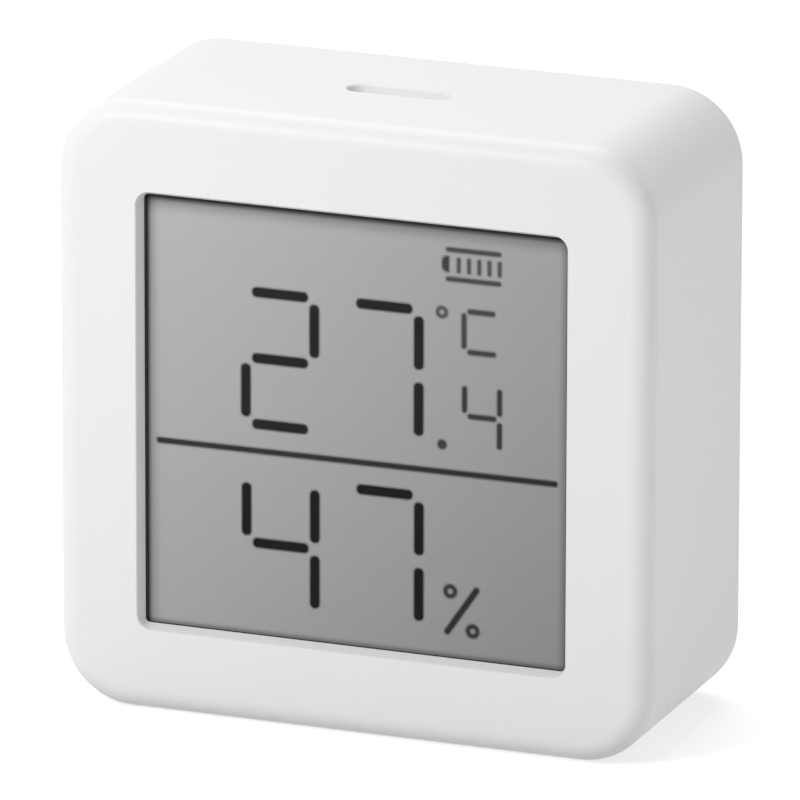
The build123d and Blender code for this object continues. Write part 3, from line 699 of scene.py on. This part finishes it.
def cell_material(name, node, positive, settings):
    """A cell: a dark sleeve with a band at its positive end, and bare metal at both ends."""
    low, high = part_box(node)
    base, nub = (low.x, high.x) if positive > 0 else (high.x, low.x)
    material, tree, shader = new_material(name)
    along = split_place(tree)["X"]
    from_base = maths(tree, "MULTIPLY", maths(tree, "SUBTRACT", along, base), positive)
    from_nub = maths(tree, "MULTIPLY", maths(tree, "SUBTRACT", nub, along), positive)
    band = ramp(tree, from_nub, *CELL_BAND, 1.0, 0.0)
    bare_base = ramp(tree, from_base, *CELL_BARE_BASE, 1.0, 0.0)
    bare_nub = ramp(tree, from_nub, *CELL_BARE_NUB, 1.0, 0.0)
    bare = maths(tree, "MAXIMUM", bare_base, bare_nub)
    sleeve_values = {
        "Colour": blended(tree, band, solid(settings.sleeve), solid(settings.band)),
        "Grain Size": CELL_GRAIN,
        "Tone Change": 0.2,
        "Roughness": 0.3,
    }
    sleeve = shared_effect(tree, "moulded_skin", sleeve_values)
    can_values = {"Colour": (0.62, 0.62, 0.6, 1.0), "Roughness": 0.25}
    can = shared_effect(tree, "drawn_metal", can_values)
    tone = blended(tree, bare, sleeve["Colour"], can["Colour"])
    band_metal = maths(tree, "MULTIPLY", band, CELL_BAND_METAL_SHARE)
    metallic = maths(tree, "MAXIMUM", bare, band_metal)
    tree.links.new(tone, shader.inputs["Base Color"])
    tree.links.new(metallic, shader.inputs["Metallic"])
    tree.links.new(sleeve["Roughness"], shader.inputs["Roughness"])
    shader.inputs["Coat Weight"].default_value = 0.4
    relief(tree, shader, sleeve["Height"], CELL_RELIEF)
    return material


# Display symbols: places and sizes in millimetres across and up the front, and inks as shares

DIGIT_SEGMENTS = {"2": "abged", "4": "fgbc", "7": "abc"}
LARGE_DIGIT_WIDTH = 6.36
LARGE_DIGIT_HALF = 5.94
LARGE_DIGIT_GAP = 0.56
LARGE_DIGIT_PITCH = 9.65
UPPER_DIGIT_PLACE = (-6.95, 33.0)
LOWER_DIGIT_PLACE = (-6.9, 16.295)
SMALL_DIGIT_WIDTH = 3.22
SMALL_DIGIT_HALF = 2.97
SMALL_DIGIT_GAP = 0.27
SMALL_DIGIT_PLACE = (11.71, 29.9)
TEMPERATURE_INK = 0.97
HUMIDITY_INK = 0.99
TENTHS_INK = 0.885
DIVIDING_LINE = ((-18.5, 24.61), (18.7, 24.695), 0.57, 0.93)
DECIMAL_POINT = ((8.05, 27.12), 0.455, 0.87)
DEGREE_RING = ((8.0, 38.97), 0.59, 0.4, 0.76)
SCALE_LETTER = (
    ((10.33, 39.26), (12.92, 39.26), 0.83),
    ((10.04, 39.09), (10.04, 35.89), 0.825),
    ((10.33, 35.64), (13.0, 35.64), 0.845),
)
PERCENT_RINGS = ((8.85, 13.95), (10.93, 10.55))
PERCENT_RING = (0.67, 0.46, 0.87)
PERCENT_BAR = ((8.42, 10.05), (11.43, 14.52), 0.61, 0.92)
CHARGE_SPAN = (8.33, 13.45)
CHARGE_RAILS = (44.63, 42.0)
CHARGE_RAIL = (0.48, 0.82)
CHARGE_NUB = ((7.97, 42.6), (8.68, 44.06), 0.3)
CHARGE_NUB_INK = 0.88
CHARGE_BAR_SPAN = (42.57, 44.02)
CHARGE_BAR = (0.42, 0.77)
CHARGE_FIRST_BAR = 9.53
CHARGE_BAR_PITCH = 0.9375
BAR_ROUNDNESS = 0.47
CORNER_STEPS = 5
CIRCLE_STEPS = 40
SHEET_THICKNESS = 0.006


def digit_bars(digit, middle, width, half, gap):
    """The centre lines of the segments of one digit, between their rounded ends."""
    x, z = middle
    left, right = x - width / 2, x + width / 2
    top, bottom = z + half, z - half
    lines = {
        "a": ((left + gap, top), (right - gap, top)),
        "b": ((right, top - gap), (right, z + gap)),
        "c": ((right, z - gap), (right, bottom + gap)),
        "d": ((left + gap, bottom), (right - gap, bottom)),
        "e": ((left, z - gap), (left, bottom + gap)),
        "f": ((left, top - gap), (left, z + gap)),
        "g": ((left + gap, z), (right - gap, z)),
    }
    return [lines[letter] for letter in DIGIT_SEGMENTS[digit]]


def bar_outline(start, end, stroke, grow):
    """The outline of a bar with rounded corners, grown or shrunk by a margin."""
    start, end = Vector(start), Vector(end)
    along = (end - start).normalized()
    aside = Vector((-along.y, along.x))
    half = stroke / 2
    radius = stroke * BAR_ROUNDNESS
    reach = radius + grow
    corners = ((end, 1, -1), (end, 1, 1), (start, -1, 1), (start, -1, -1))
    points = []
    for corner, (end_point, forward, side) in enumerate(corners):
        centre = end_point - along * forward * radius + aside * side * (half - radius)
        for step in range(CORNER_STEPS + 1):
            angle = (corner - 1 + step / CORNER_STEPS) * pi / 2
            points.append(centre + (along * cos(angle) + aside * sin(angle)) * reach)
    return points


def circle_outline(centre, radius):
    """Points round a circle."""
    x, z = centre
    turns = [tau * step / CIRCLE_STEPS for step in range(CIRCLE_STEPS)]
    return [Vector((x + radius * cos(turn), z + radius * sin(turn))) for turn in turns]


def nub_outline(low, high, cut, grow):
    """The outline of a block whose two corners on the left are cut off."""
    left, bottom = low[0] - grow, low[1] - grow
    right, top = high[0] + grow, high[1] + grow
    corners = (
        (right, bottom),
        (right, top),
        (left + cut, top),
        (left, top - cut),
        (left, bottom + cut),
        (left + cut, bottom),
    )
    return [Vector(corner) for corner in corners]


class SymbolSheet:
    """One mesh of flat symbols that lie on the display film, with soft edges."""

    def __init__(self, blur):
        self.mesh = bmesh.new()
        self.ink = self.mesh.verts.layers.float.new("ink")
        self.margin = blur / 2
        self.edge_depth = film_low.y / MM
        self.face_depth = self.edge_depth - SHEET_THICKNESS
        self.back_depth = self.edge_depth + SHEET_THICKNESS

    def loop(self, outline, depth, ink):
        """A closed run of points at one depth."""
        points = []
        for point in outline:
            vertex = self.mesh.verts.new((point.x * MM, depth * MM, point.y * MM))
            vertex[self.ink] = ink
            points.append(vertex)
        return points

    def wall(self, first, second):
        """The faces between two loops."""
        count = len(first)
        for index in range(count):
            following = (index + 1) % count
            self.mesh.faces.new((first[index], first[following], second[following], second[index]))

    def plate(self, outline, strength):
        """A closed plate from an outline that grows with a margin."""
        rim = self.loop(outline(self.margin), self.back_depth, 0.0)
        edge = self.loop(outline(self.margin), self.edge_depth, 0.0)
        face = self.loop(outline(-self.margin), self.face_depth, strength)
        self.mesh.faces.new(rim)
        self.wall(rim, edge)
        self.wall(edge, face)
        self.mesh.faces.new(face)

    def bar(self, start, end, stroke, strength):
        """A straight bar."""
        self.plate(lambda grow: bar_outline(start, end, stroke, grow), strength)

    def disc(self, centre, radius, strength):
        """A round dot."""
        self.plate(lambda grow: circle_outline(centre, radius + grow), strength)

    def ring(self, centre, radius, stroke, strength):
        """A round ring."""
        inner = radius - stroke
        steps = (
            (radius + self.margin, self.back_depth, 0.0),
            (radius + self.margin, self.edge_depth, 0.0),
            (radius - self.margin, self.face_depth, strength),
            (inner + self.margin, self.face_depth, strength),
            (inner - self.margin, self.edge_depth, 0.0),
            (inner - self.margin, self.back_depth, 0.0),
        )
        loops = [self.loop(circle_outline(centre, size), depth, ink) for size, depth, ink in steps]
        for first, second in zip(loops, loops[1:] + loops[:1]):
            self.wall(first, second)

    def finish(self, name, material):
        """Makes the sheet an object that rides on the case."""
        bmesh.ops.recalc_face_normals(self.mesh, faces=self.mesh.faces)
        data = bpy.data.meshes.new(name)
        self.mesh.to_mesh(data)
        self.mesh.free()
        data.materials.append(material)
        piece = bpy.data.objects.new(name, data)
        bpy.context.scene.collection.objects.link(piece)
        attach(piece, "case")


def segment_ink(settings):
    """The material of the segments, made once."""
    return bpy.data.materials.get("segment_ink") or segment_material(settings)


# Operators, one for each piece or group of like pieces

# Finishes on the back: how much rougher than the housing, and shares of its grain and depth
BACK_FINISHES = (
    ("cover_plastic", "battery_cover", 0.1, 1.5, 2),
    ("stand_plastic", "kickstand", 0.06, 1.2, 2),
    ("button_plastic", "rear_button", -0.12, 1, 1),
)
BAFFLE_ROUGHNESS = 0.55


class SENSOR_OT_shell(bpy.types.Operator):
    """Finish the front housing and the vent baffle in its top slot"""

    bl_idname = "sensor.shell"
    bl_label = "Housing"
    bl_options = {"REGISTER", "UNDO"}

    def execute(self, context):
        settings = context.scene.sensor_shell
        dress(shell_material(settings), "front_housing")
        # Painted shade: the baffle in the top slot is made darker by the same share as the
        # window's walls
        colour = [channel * settings.recess_painted_shade for channel in settings.colour]
        baffle = plastic(
            "baffle_plastic", colour, BAFFLE_ROUGHNESS, settings.grain, settings.grain_depth
        )
        dress(baffle, "vent_baffle")
        return {"FINISHED"}


class SENSOR_OT_back(bpy.types.Operator):
    """Finish the battery cover, the kickstand and the rear button"""

    bl_idname = "sensor.back"
    bl_label = "Cover, Stand and Button"
    bl_options = {"REGISTER", "UNDO"}

    def execute(self, context):
        settings = context.scene.sensor_shell
        for name, node, rougher, grain_share, depth_share in BACK_FINISHES:
            finish = plastic(
                name,
                settings.colour,
                settings.roughness + rougher,
                settings.grain * grain_share,
                settings.grain_depth * depth_share,
            )
            dress(finish, node)
        return {"FINISHED"}


class SENSOR_OT_display(bpy.types.Operator):
    """Finish the display film, the glasses and what holds them"""

    bl_idname = "sensor.display"
    bl_label = "Display Stack"
    bl_options = {"REGISTER", "UNDO"}

    def execute(self, context):
        settings = context.scene.sensor_display
        dress(film_material(settings), "lcd_polarizer")
        dress(glass_material(), "lcd_front_glass", "lcd_rear_glass")
        foil = metal(
            "reflector_foil",
            colour=(0.62, 0.63, 0.61),
            roughness=0.5,
            streak=0.2 * MM,
            dull=0.3,
            stretch=1.5,
        )
        foam = flecked(
            "black_foam",
            colour=(0.012, 0.012, 0.012),
            fleck=(0.03, 0.03, 0.03),
            cell=0.18 * MM,
            share=0.6,
            roughness=0.9,
            depth=0.03 * MM,
        )
        dark_plastic = plastic(
            "frame_plastic",
            colour=(0.02, 0.02, 0.021),
            roughness=0.5,
            grain=0.2 * MM,
            grain_depth=0.004 * MM,
            tone_change=0.2,
        )
        dress(foil, "lcd_reflector")
        dress(foam, "lcd_gasket", "sensor_seal")
        dress(dark_plastic, "lcd_frame")
        dress(striped_material(), "zebra_connector")
        return {"FINISHED"}


class SENSOR_OT_large_digits(bpy.types.Operator):
    """Add the large digits of the temperature and of the humidity"""

    bl_idname = "sensor.large_digits"
    bl_label = "Large Digits"
    bl_options = {"REGISTER", "UNDO"}

    temperature: StringProperty(
        name="Temperature", description="Two digits of 2, 4 and 7", default="27"
    )
    humidity: StringProperty(name="Humidity", description="Two digits of 2, 4 and 7", default="47")

    def execute(self, context):
        settings = context.scene.sensor_display
        rows = (
            ("temperature_digits", self.temperature, UPPER_DIGIT_PLACE, TEMPERATURE_INK),
            ("humidity_digits", self.humidity, LOWER_DIGIT_PLACE, HUMIDITY_INK),
        )
        for name, digits, (first, height), strength in rows:
            sheet = SymbolSheet(settings.blur / MM)
            for place, digit in enumerate(digits):
                middle = (first + place * LARGE_DIGIT_PITCH, height)
                bars = digit_bars(
                    digit, middle, LARGE_DIGIT_WIDTH, LARGE_DIGIT_HALF, LARGE_DIGIT_GAP
                )
                for start, end in bars:
                    sheet.bar(start, end, settings.stroke / MM, strength)
            sheet.finish(name, segment_ink(settings))
        return {"FINISHED"}


class SENSOR_OT_small_symbols(bpy.types.Operator):
    """Add the tenths digit, the units, the dividing line and the charge symbol"""

    bl_idname = "sensor.small_symbols"
    bl_label = "Small Symbols"
    bl_options = {"REGISTER", "UNDO"}

    tenths: StringProperty(name="Tenths", description="One digit of 2, 4 and 7", default="4")
    charge: IntProperty(
        name="Charge", description="Bars shown in the charge symbol", min=0, max=5, default=5
    )

    def execute(self, context):
        settings = context.scene.sensor_display
        stroke = settings.small_stroke / MM
        ink = segment_ink(settings)
        blur = settings.blur / MM
        self.add_tenths(SymbolSheet(blur), stroke).finish("tenths_digit", ink)
        self.add_units(SymbolSheet(blur), stroke).finish("unit_marks", ink)
        self.add_percent(SymbolSheet(blur)).finish("percent_mark", ink)
        self.add_charge(SymbolSheet(blur)).finish("charge_mark", ink)
        line = SymbolSheet(blur)
        line.bar(*DIVIDING_LINE)
        line.finish("dividing_line", ink)
        return {"FINISHED"}

    def add_tenths(self, sheet, stroke):
        """The tenths digit and the decimal point."""
        bars = digit_bars(
            self.tenths, SMALL_DIGIT_PLACE, SMALL_DIGIT_WIDTH, SMALL_DIGIT_HALF, SMALL_DIGIT_GAP
        )
        for start, end in bars:
            sheet.bar(start, end, stroke, TENTHS_INK)
        sheet.disc(*DECIMAL_POINT)
        return sheet

    def add_units(self, sheet, stroke):
        """The degree ring and the letter of the scale."""
        sheet.ring(*DEGREE_RING)
        for start, end, strength in SCALE_LETTER:
            sheet.bar(start, end, stroke, strength)
        return sheet

    def add_percent(self, sheet):
        """The percent sign."""
        for centre in PERCENT_RINGS:
            sheet.ring(centre, *PERCENT_RING)
        sheet.bar(*PERCENT_BAR)
        return sheet

    def add_charge(self, sheet):
        """The outline of a cell with its bars."""
        left, right = CHARGE_SPAN
        for height in CHARGE_RAILS:
            sheet.bar((left, height), (right, height), *CHARGE_RAIL)
        sheet.plate(lambda grow: nub_outline(*CHARGE_NUB, grow), CHARGE_NUB_INK)
        bottom, top = CHARGE_BAR_SPAN
        for bar in range(self.charge):
            x = CHARGE_FIRST_BAR + bar * CHARGE_BAR_PITCH
            sheet.bar((x, bottom), (x, top), *CHARGE_BAR)
        return sheet


class SENSOR_OT_board(bpy.types.Operator):
    """Finish the circuit board and the parts on it"""

    bl_idname = "sensor.board"
    bl_label = "Circuit Board"
    bl_options = {"REGISTER", "UNDO"}

    def execute(self, context):
        dress(board_material(context.scene.sensor_inside), "main_board")
        chips = flecked(
            "chip_resin",
            colour=(0.016, 0.016, 0.018),
            fleck=(0.05, 0.05, 0.05),
            cell=0.09 * MM,
            share=0.3,
            roughness=0.55,
            depth=0.004 * MM,
        )
        ceramic = flecked(
            "fired_ceramic",
            colour=(0.42, 0.28, 0.16),
            fleck=(0.5, 0.36, 0.22),
            cell=0.1 * MM,
            share=0.5,
            roughness=0.6,
            depth=0.003 * MM,
        )
        can = metal(
            "plated_can", colour=(0.72, 0.72, 0.7), roughness=0.28, streak=0.12 * MM, dull=0.15
        )
        gold = metal(
            "gold_flash", colour=(0.82, 0.56, 0.28), roughness=0.3, streak=0.08 * MM, dull=0.2
        )
        dress(chips, "controller_chip", "display_driver", "humidity_sensor", "tact_switch")
        dress(ceramic, "chip_capacitors")
        dress(can, "crystals")
        dress(gold, "board_antenna")
        return {"FINISHED"}


class SENSOR_OT_battery_bay(bpy.types.Operator):
    """Finish the battery tray, the cells, the contacts and the small inner mouldings"""

    bl_idname = "sensor.battery_bay"
    bl_label = "Battery Bay"
    bl_options = {"REGISTER", "UNDO"}

    def execute(self, context):
        settings = context.scene.sensor_inside
        inner = plastic(
            "inner_plastic",
            colour=(0.80, 0.80, 0.79),
            roughness=0.5,
            grain=0.25 * MM,
            grain_depth=0.006 * MM,
            tone_change=0.03,
        )
        spring = metal(
            "spring_steel",
            colour=(0.66, 0.65, 0.62),
            roughness=0.24,
            streak=0.1 * MM,
            dull=0.25,
            stretch=3.0,
        )
        plate = metal(
            "contact_plate",
            colour=(0.7, 0.69, 0.66),
            roughness=0.28,
            streak=0.14 * MM,
            dull=0.25,
            stretch=1.0,
        )
        dress(inner, "battery_tray", "air_duct", "switch_plunger")
        dress(cell_material("upper_sleeve", "upper_cell", 1.0, settings), "upper_cell")
        dress(cell_material("lower_sleeve", "lower_cell", -1.0, settings), "lower_cell")
        dress(spring, "upper_spring", "lower_spring")
        dress(plate, "negative_contact", "positive_contact", "bridge_contact")
        return {"FINISHED"}


class SENSOR_OT_fasteners(bpy.types.Operator):
    """Finish the screws and the magnets"""

    bl_idname = "sensor.fasteners"
    bl_label = "Screws and Magnets"
    bl_options = {"REGISTER", "UNDO"}

    def execute(self, context):
        zinc = metal(
            "screw_steel",
            colour=(0.42, 0.42, 0.43),
            roughness=0.34,
            streak=0.1 * MM,
            dull=0.4,
            stretch=4.0,
        )
        nickel = metal(
            "magnet_nickel",
            colour=(0.6, 0.6, 0.59),
            roughness=0.26,
            streak=0.3 * MM,
            dull=0.2,
            stretch=1.0,
        )
        dress(zinc, "case_screws", "board_screws")
        dress(nickel, "cover_magnets")
        return {"FINISHED"}


# Stage: camera, lamps, floor and surrounding light, in metres and degrees

CAMERA_AIM = Vector((0.00002, -0.00008, 0.02724))
CAMERA_DISTANCE = 1.07207
CAMERA_TURN = 21.117
CAMERA_DROP = 16.661
CAMERA_ROLL = 0.123
CAMERA_RANGE = 20.0
FLOOR_HALF = 3.0
FLOOR_STEPS = 8
FLOOR_CLOUD_SCALE = 3.0
FLOOR_TONES = (0.99, 1.01)
FLOOR_NEAR = 0.1
FLOOR_FAR = 0.4
FLOOR_NEAR_LIFT = 0.46
FLOOR_FAR_LIFT = 0.63
FLOOR_CLEARANCE = 0.02 * MM
FLOOR_FADE = 8.0 * MM
KEY_PLACE = Vector((-0.138, -0.234, 0.2))
KEY_SIZE = 0.12
TOP_PLACE = Vector((-0.1, 0.27, 0.5))
TOP_SIZE = 0.4
FILL_PLACE = Vector((0.08, -0.012, 0.036))
FILL_SIZE = 0.05
FILL_AIM = Vector((0.02, -0.005, 0.036))

# Width of the camera's picture chip, in millimetres
CHIP_WIDTH = 36.0


def add_lamp(name, place, size, power, target):
    """Adds a square lamp that faces a point."""
    light = bpy.data.lights.new(name, "AREA")
    light.shape = "SQUARE"
    light.size = size
    light.energy = power
    lamp = bpy.data.objects.new(name, light)
    lamp.location = place
    lamp.rotation_euler = (target - place).to_track_quat("-Z", "Y").to_euler()
    lamp.visible_camera = False
    bpy.context.scene.collection.objects.link(lamp)


def seen_directly(tree):
    """A mask that is one where the camera sees a surface itself, in a mirror or through glass."""
    path = add(tree, "ShaderNodeLightPath").outputs
    mirrored = maths(tree, "MAXIMUM", path["Is Glossy Ray"], path["Is Transmission Ray"])
    return maths(tree, "MAXIMUM", path["Is Camera Ray"], mirrored)


def floor_material(settings):
    """Pale matt floor that reads as white to the camera and keeps its shadows.

    It has no underside, and it lets pass the rays from a surface just above it, so the
    object can be seen from below.
    """
    material, tree, shader = new_material("pale_floor")
    place = place_in_object(tree)
    cloud = noise(tree, place, FLOOR_CLOUD_SCALE)
    tone = ramp(tree, cloud, *NOISE_EDGES, *FLOOR_TONES)
    tree.links.new(toned(tree, solid(settings.floor), tone), shader.inputs["Base Color"])
    shader.inputs["Roughness"].default_value = 0.9
    shader.inputs["Specular IOR Level"].default_value = 0.1
    away = add(tree, "ShaderNodeVectorMath", {"operation": "LENGTH"}, {0: place}).outputs["Value"]
    lift = ramp(tree, away, FLOOR_NEAR, FLOOR_FAR, FLOOR_NEAR_LIFT, FLOOR_FAR_LIFT)
    lift = maths(tree, "MULTIPLY", seen_directly(tree), lift)
    tree.links.new(lift, shader.inputs["Emission Strength"])
    shader.inputs["Emission Color"].default_value = WHITE
    underside = add(tree, "ShaderNodeNewGeometry").outputs["Backfacing"]
    ray_length = add(tree, "ShaderNodeLightPath").outputs["Ray Length"]
    resting = ramp(tree, ray_length, FLOOR_CLEARANCE, FLOOR_FADE, 1.0, 0.0)
    hidden = maths(tree, "MAXIMUM", underside, resting)
    tree.links.new(maths(tree, "SUBTRACT", 1.0, hidden), shader.inputs["Alpha"])
    return material


class SENSOR_OT_stage(bpy.types.Operator):
    """Set up the camera, the lamps, the floor and the surrounding light"""

    bl_idname = "sensor.stage"
    bl_label = "Stage"
    bl_options = {"REGISTER", "UNDO"}

    def execute(self, context):
        settings = context.scene.sensor_stage
        scene = context.scene
        scene.view_settings.view_transform = "Standard"
        self.add_camera(scene, settings)
        self.add_floor(scene, settings)
        self.light_world(scene, settings)
        add_lamp("key_lamp", KEY_PLACE, KEY_SIZE, settings.key_power, CAMERA_AIM)
        add_lamp("top_lamp", TOP_PLACE, TOP_SIZE, settings.top_power, CAMERA_AIM)
        add_lamp("fill_lamp", FILL_PLACE, FILL_SIZE, settings.fill_power, FILL_AIM)
        return {"FINISHED"}

    def add_camera(self, scene, settings):
        """The camera at the viewing angle of the photograph."""
        data = bpy.data.cameras.new("camera")
        data.sensor_width = CHIP_WIDTH
        data.lens = settings.lens
        data.clip_end = CAMERA_RANGE
        turn = Matrix.Rotation(radians(CAMERA_TURN), 4, "Z")
        tip = Matrix.Rotation(radians(90 - CAMERA_DROP), 4, "X")
        roll = Matrix.Rotation(radians(CAMERA_ROLL), 4, "Z")
        facing = turn @ tip @ roll
        back = facing.to_3x3() @ Vector((0.0, 0.0, 1.0))
        camera = bpy.data.objects.new("camera", data)
        camera.matrix_world = Matrix.Translation(CAMERA_AIM + back * CAMERA_DISTANCE) @ facing
        scene.collection.objects.link(camera)
        scene.camera = camera

    def add_floor(self, scene, settings):
        """A large level floor, a hair below what stands on it."""
        mesh = bmesh.new()
        bmesh.ops.create_grid(
            mesh, x_segments=FLOOR_STEPS, y_segments=FLOOR_STEPS, size=FLOOR_HALF
        )
        data = bpy.data.meshes.new("floor")
        mesh.to_mesh(data)
        mesh.free()
        data.materials.append(floor_material(settings))
        floor = bpy.data.objects.new("floor", data)
        floor.location.z = -FLOOR_CLEARANCE
        scene.collection.objects.link(floor)

    def light_world(self, scene, settings):
        """Even surrounding light, seen as white behind the object."""
        world = bpy.data.worlds.new("surroundings")
        world.use_nodes = True
        scene.world = world
        tree = world.node_tree
        tree.nodes.clear()
        soft = add(tree, "ShaderNodeBackground", None, {"Color": WHITE, "Strength": settings.sky})
        white = add(tree, "ShaderNodeBackground", None, {"Color": WHITE, "Strength": 1.0})
        choice = {0: seen_directly(tree), 1: soft.outputs[0], 2: white.outputs[0]}
        mix = add(tree, "ShaderNodeMixShader", None, choice).outputs[0]
        add(tree, "ShaderNodeOutputWorld", None, {"Surface": mix})


class SENSOR_PT_panel(bpy.types.Panel):
    """Buttons and settings of the sensor"""

    bl_idname = "SENSOR_PT_panel"
    bl_label = "Climate Sensor"
    bl_space_type = "VIEW_3D"
    bl_region_type = "UI"
    bl_category = "Climate Sensor"

    def draw(self, context):
        layout = self.layout
        for operator in OPERATORS:
            layout.operator(operator.bl_idname)
        for name in SETTINGS:
            group = getattr(context.scene, name)
            for key in group.__annotations__:
                layout.prop(group, key)


OPERATORS = (
    SENSOR_OT_shell,
    SENSOR_OT_back,
    SENSOR_OT_display,
    SENSOR_OT_large_digits,
    SENSOR_OT_small_symbols,
    SENSOR_OT_board,
    SENSOR_OT_battery_bay,
    SENSOR_OT_fasteners,
    SENSOR_OT_stage,
)
SETTINGS = {
    "sensor_shell": ShellSettings,
    "sensor_display": DisplaySettings,
    "sensor_inside": InsideSettings,
    "sensor_stage": StageSettings,
}


def register():
    for settings in SETTINGS.values():
        bpy.utils.register_class(settings)
    for name, settings in SETTINGS.items():
        setattr(bpy.types.Scene, name, PointerProperty(type=settings))
    for operator in OPERATORS:
        bpy.utils.register_class(operator)
    bpy.utils.register_class(SENSOR_PT_panel)


def unregister():
    bpy.utils.unregister_class(SENSOR_PT_panel)
    for operator in reversed(OPERATORS):
        bpy.utils.unregister_class(operator)
    for name in SETTINGS:
        delattr(bpy.types.Scene, name)
    for settings in reversed(SETTINGS.values()):
        bpy.utils.unregister_class(settings)


def main():
    register()
    bpy.ops.sensor.shell()
    bpy.ops.sensor.back()
    bpy.ops.sensor.display()
    bpy.ops.sensor.large_digits()
    bpy.ops.sensor.small_symbols()
    bpy.ops.sensor.board()
    bpy.ops.sensor.battery_bay()
    bpy.ops.sensor.fasteners()
    bpy.ops.sensor.stage()


if __name__ == "__main__":
    main()
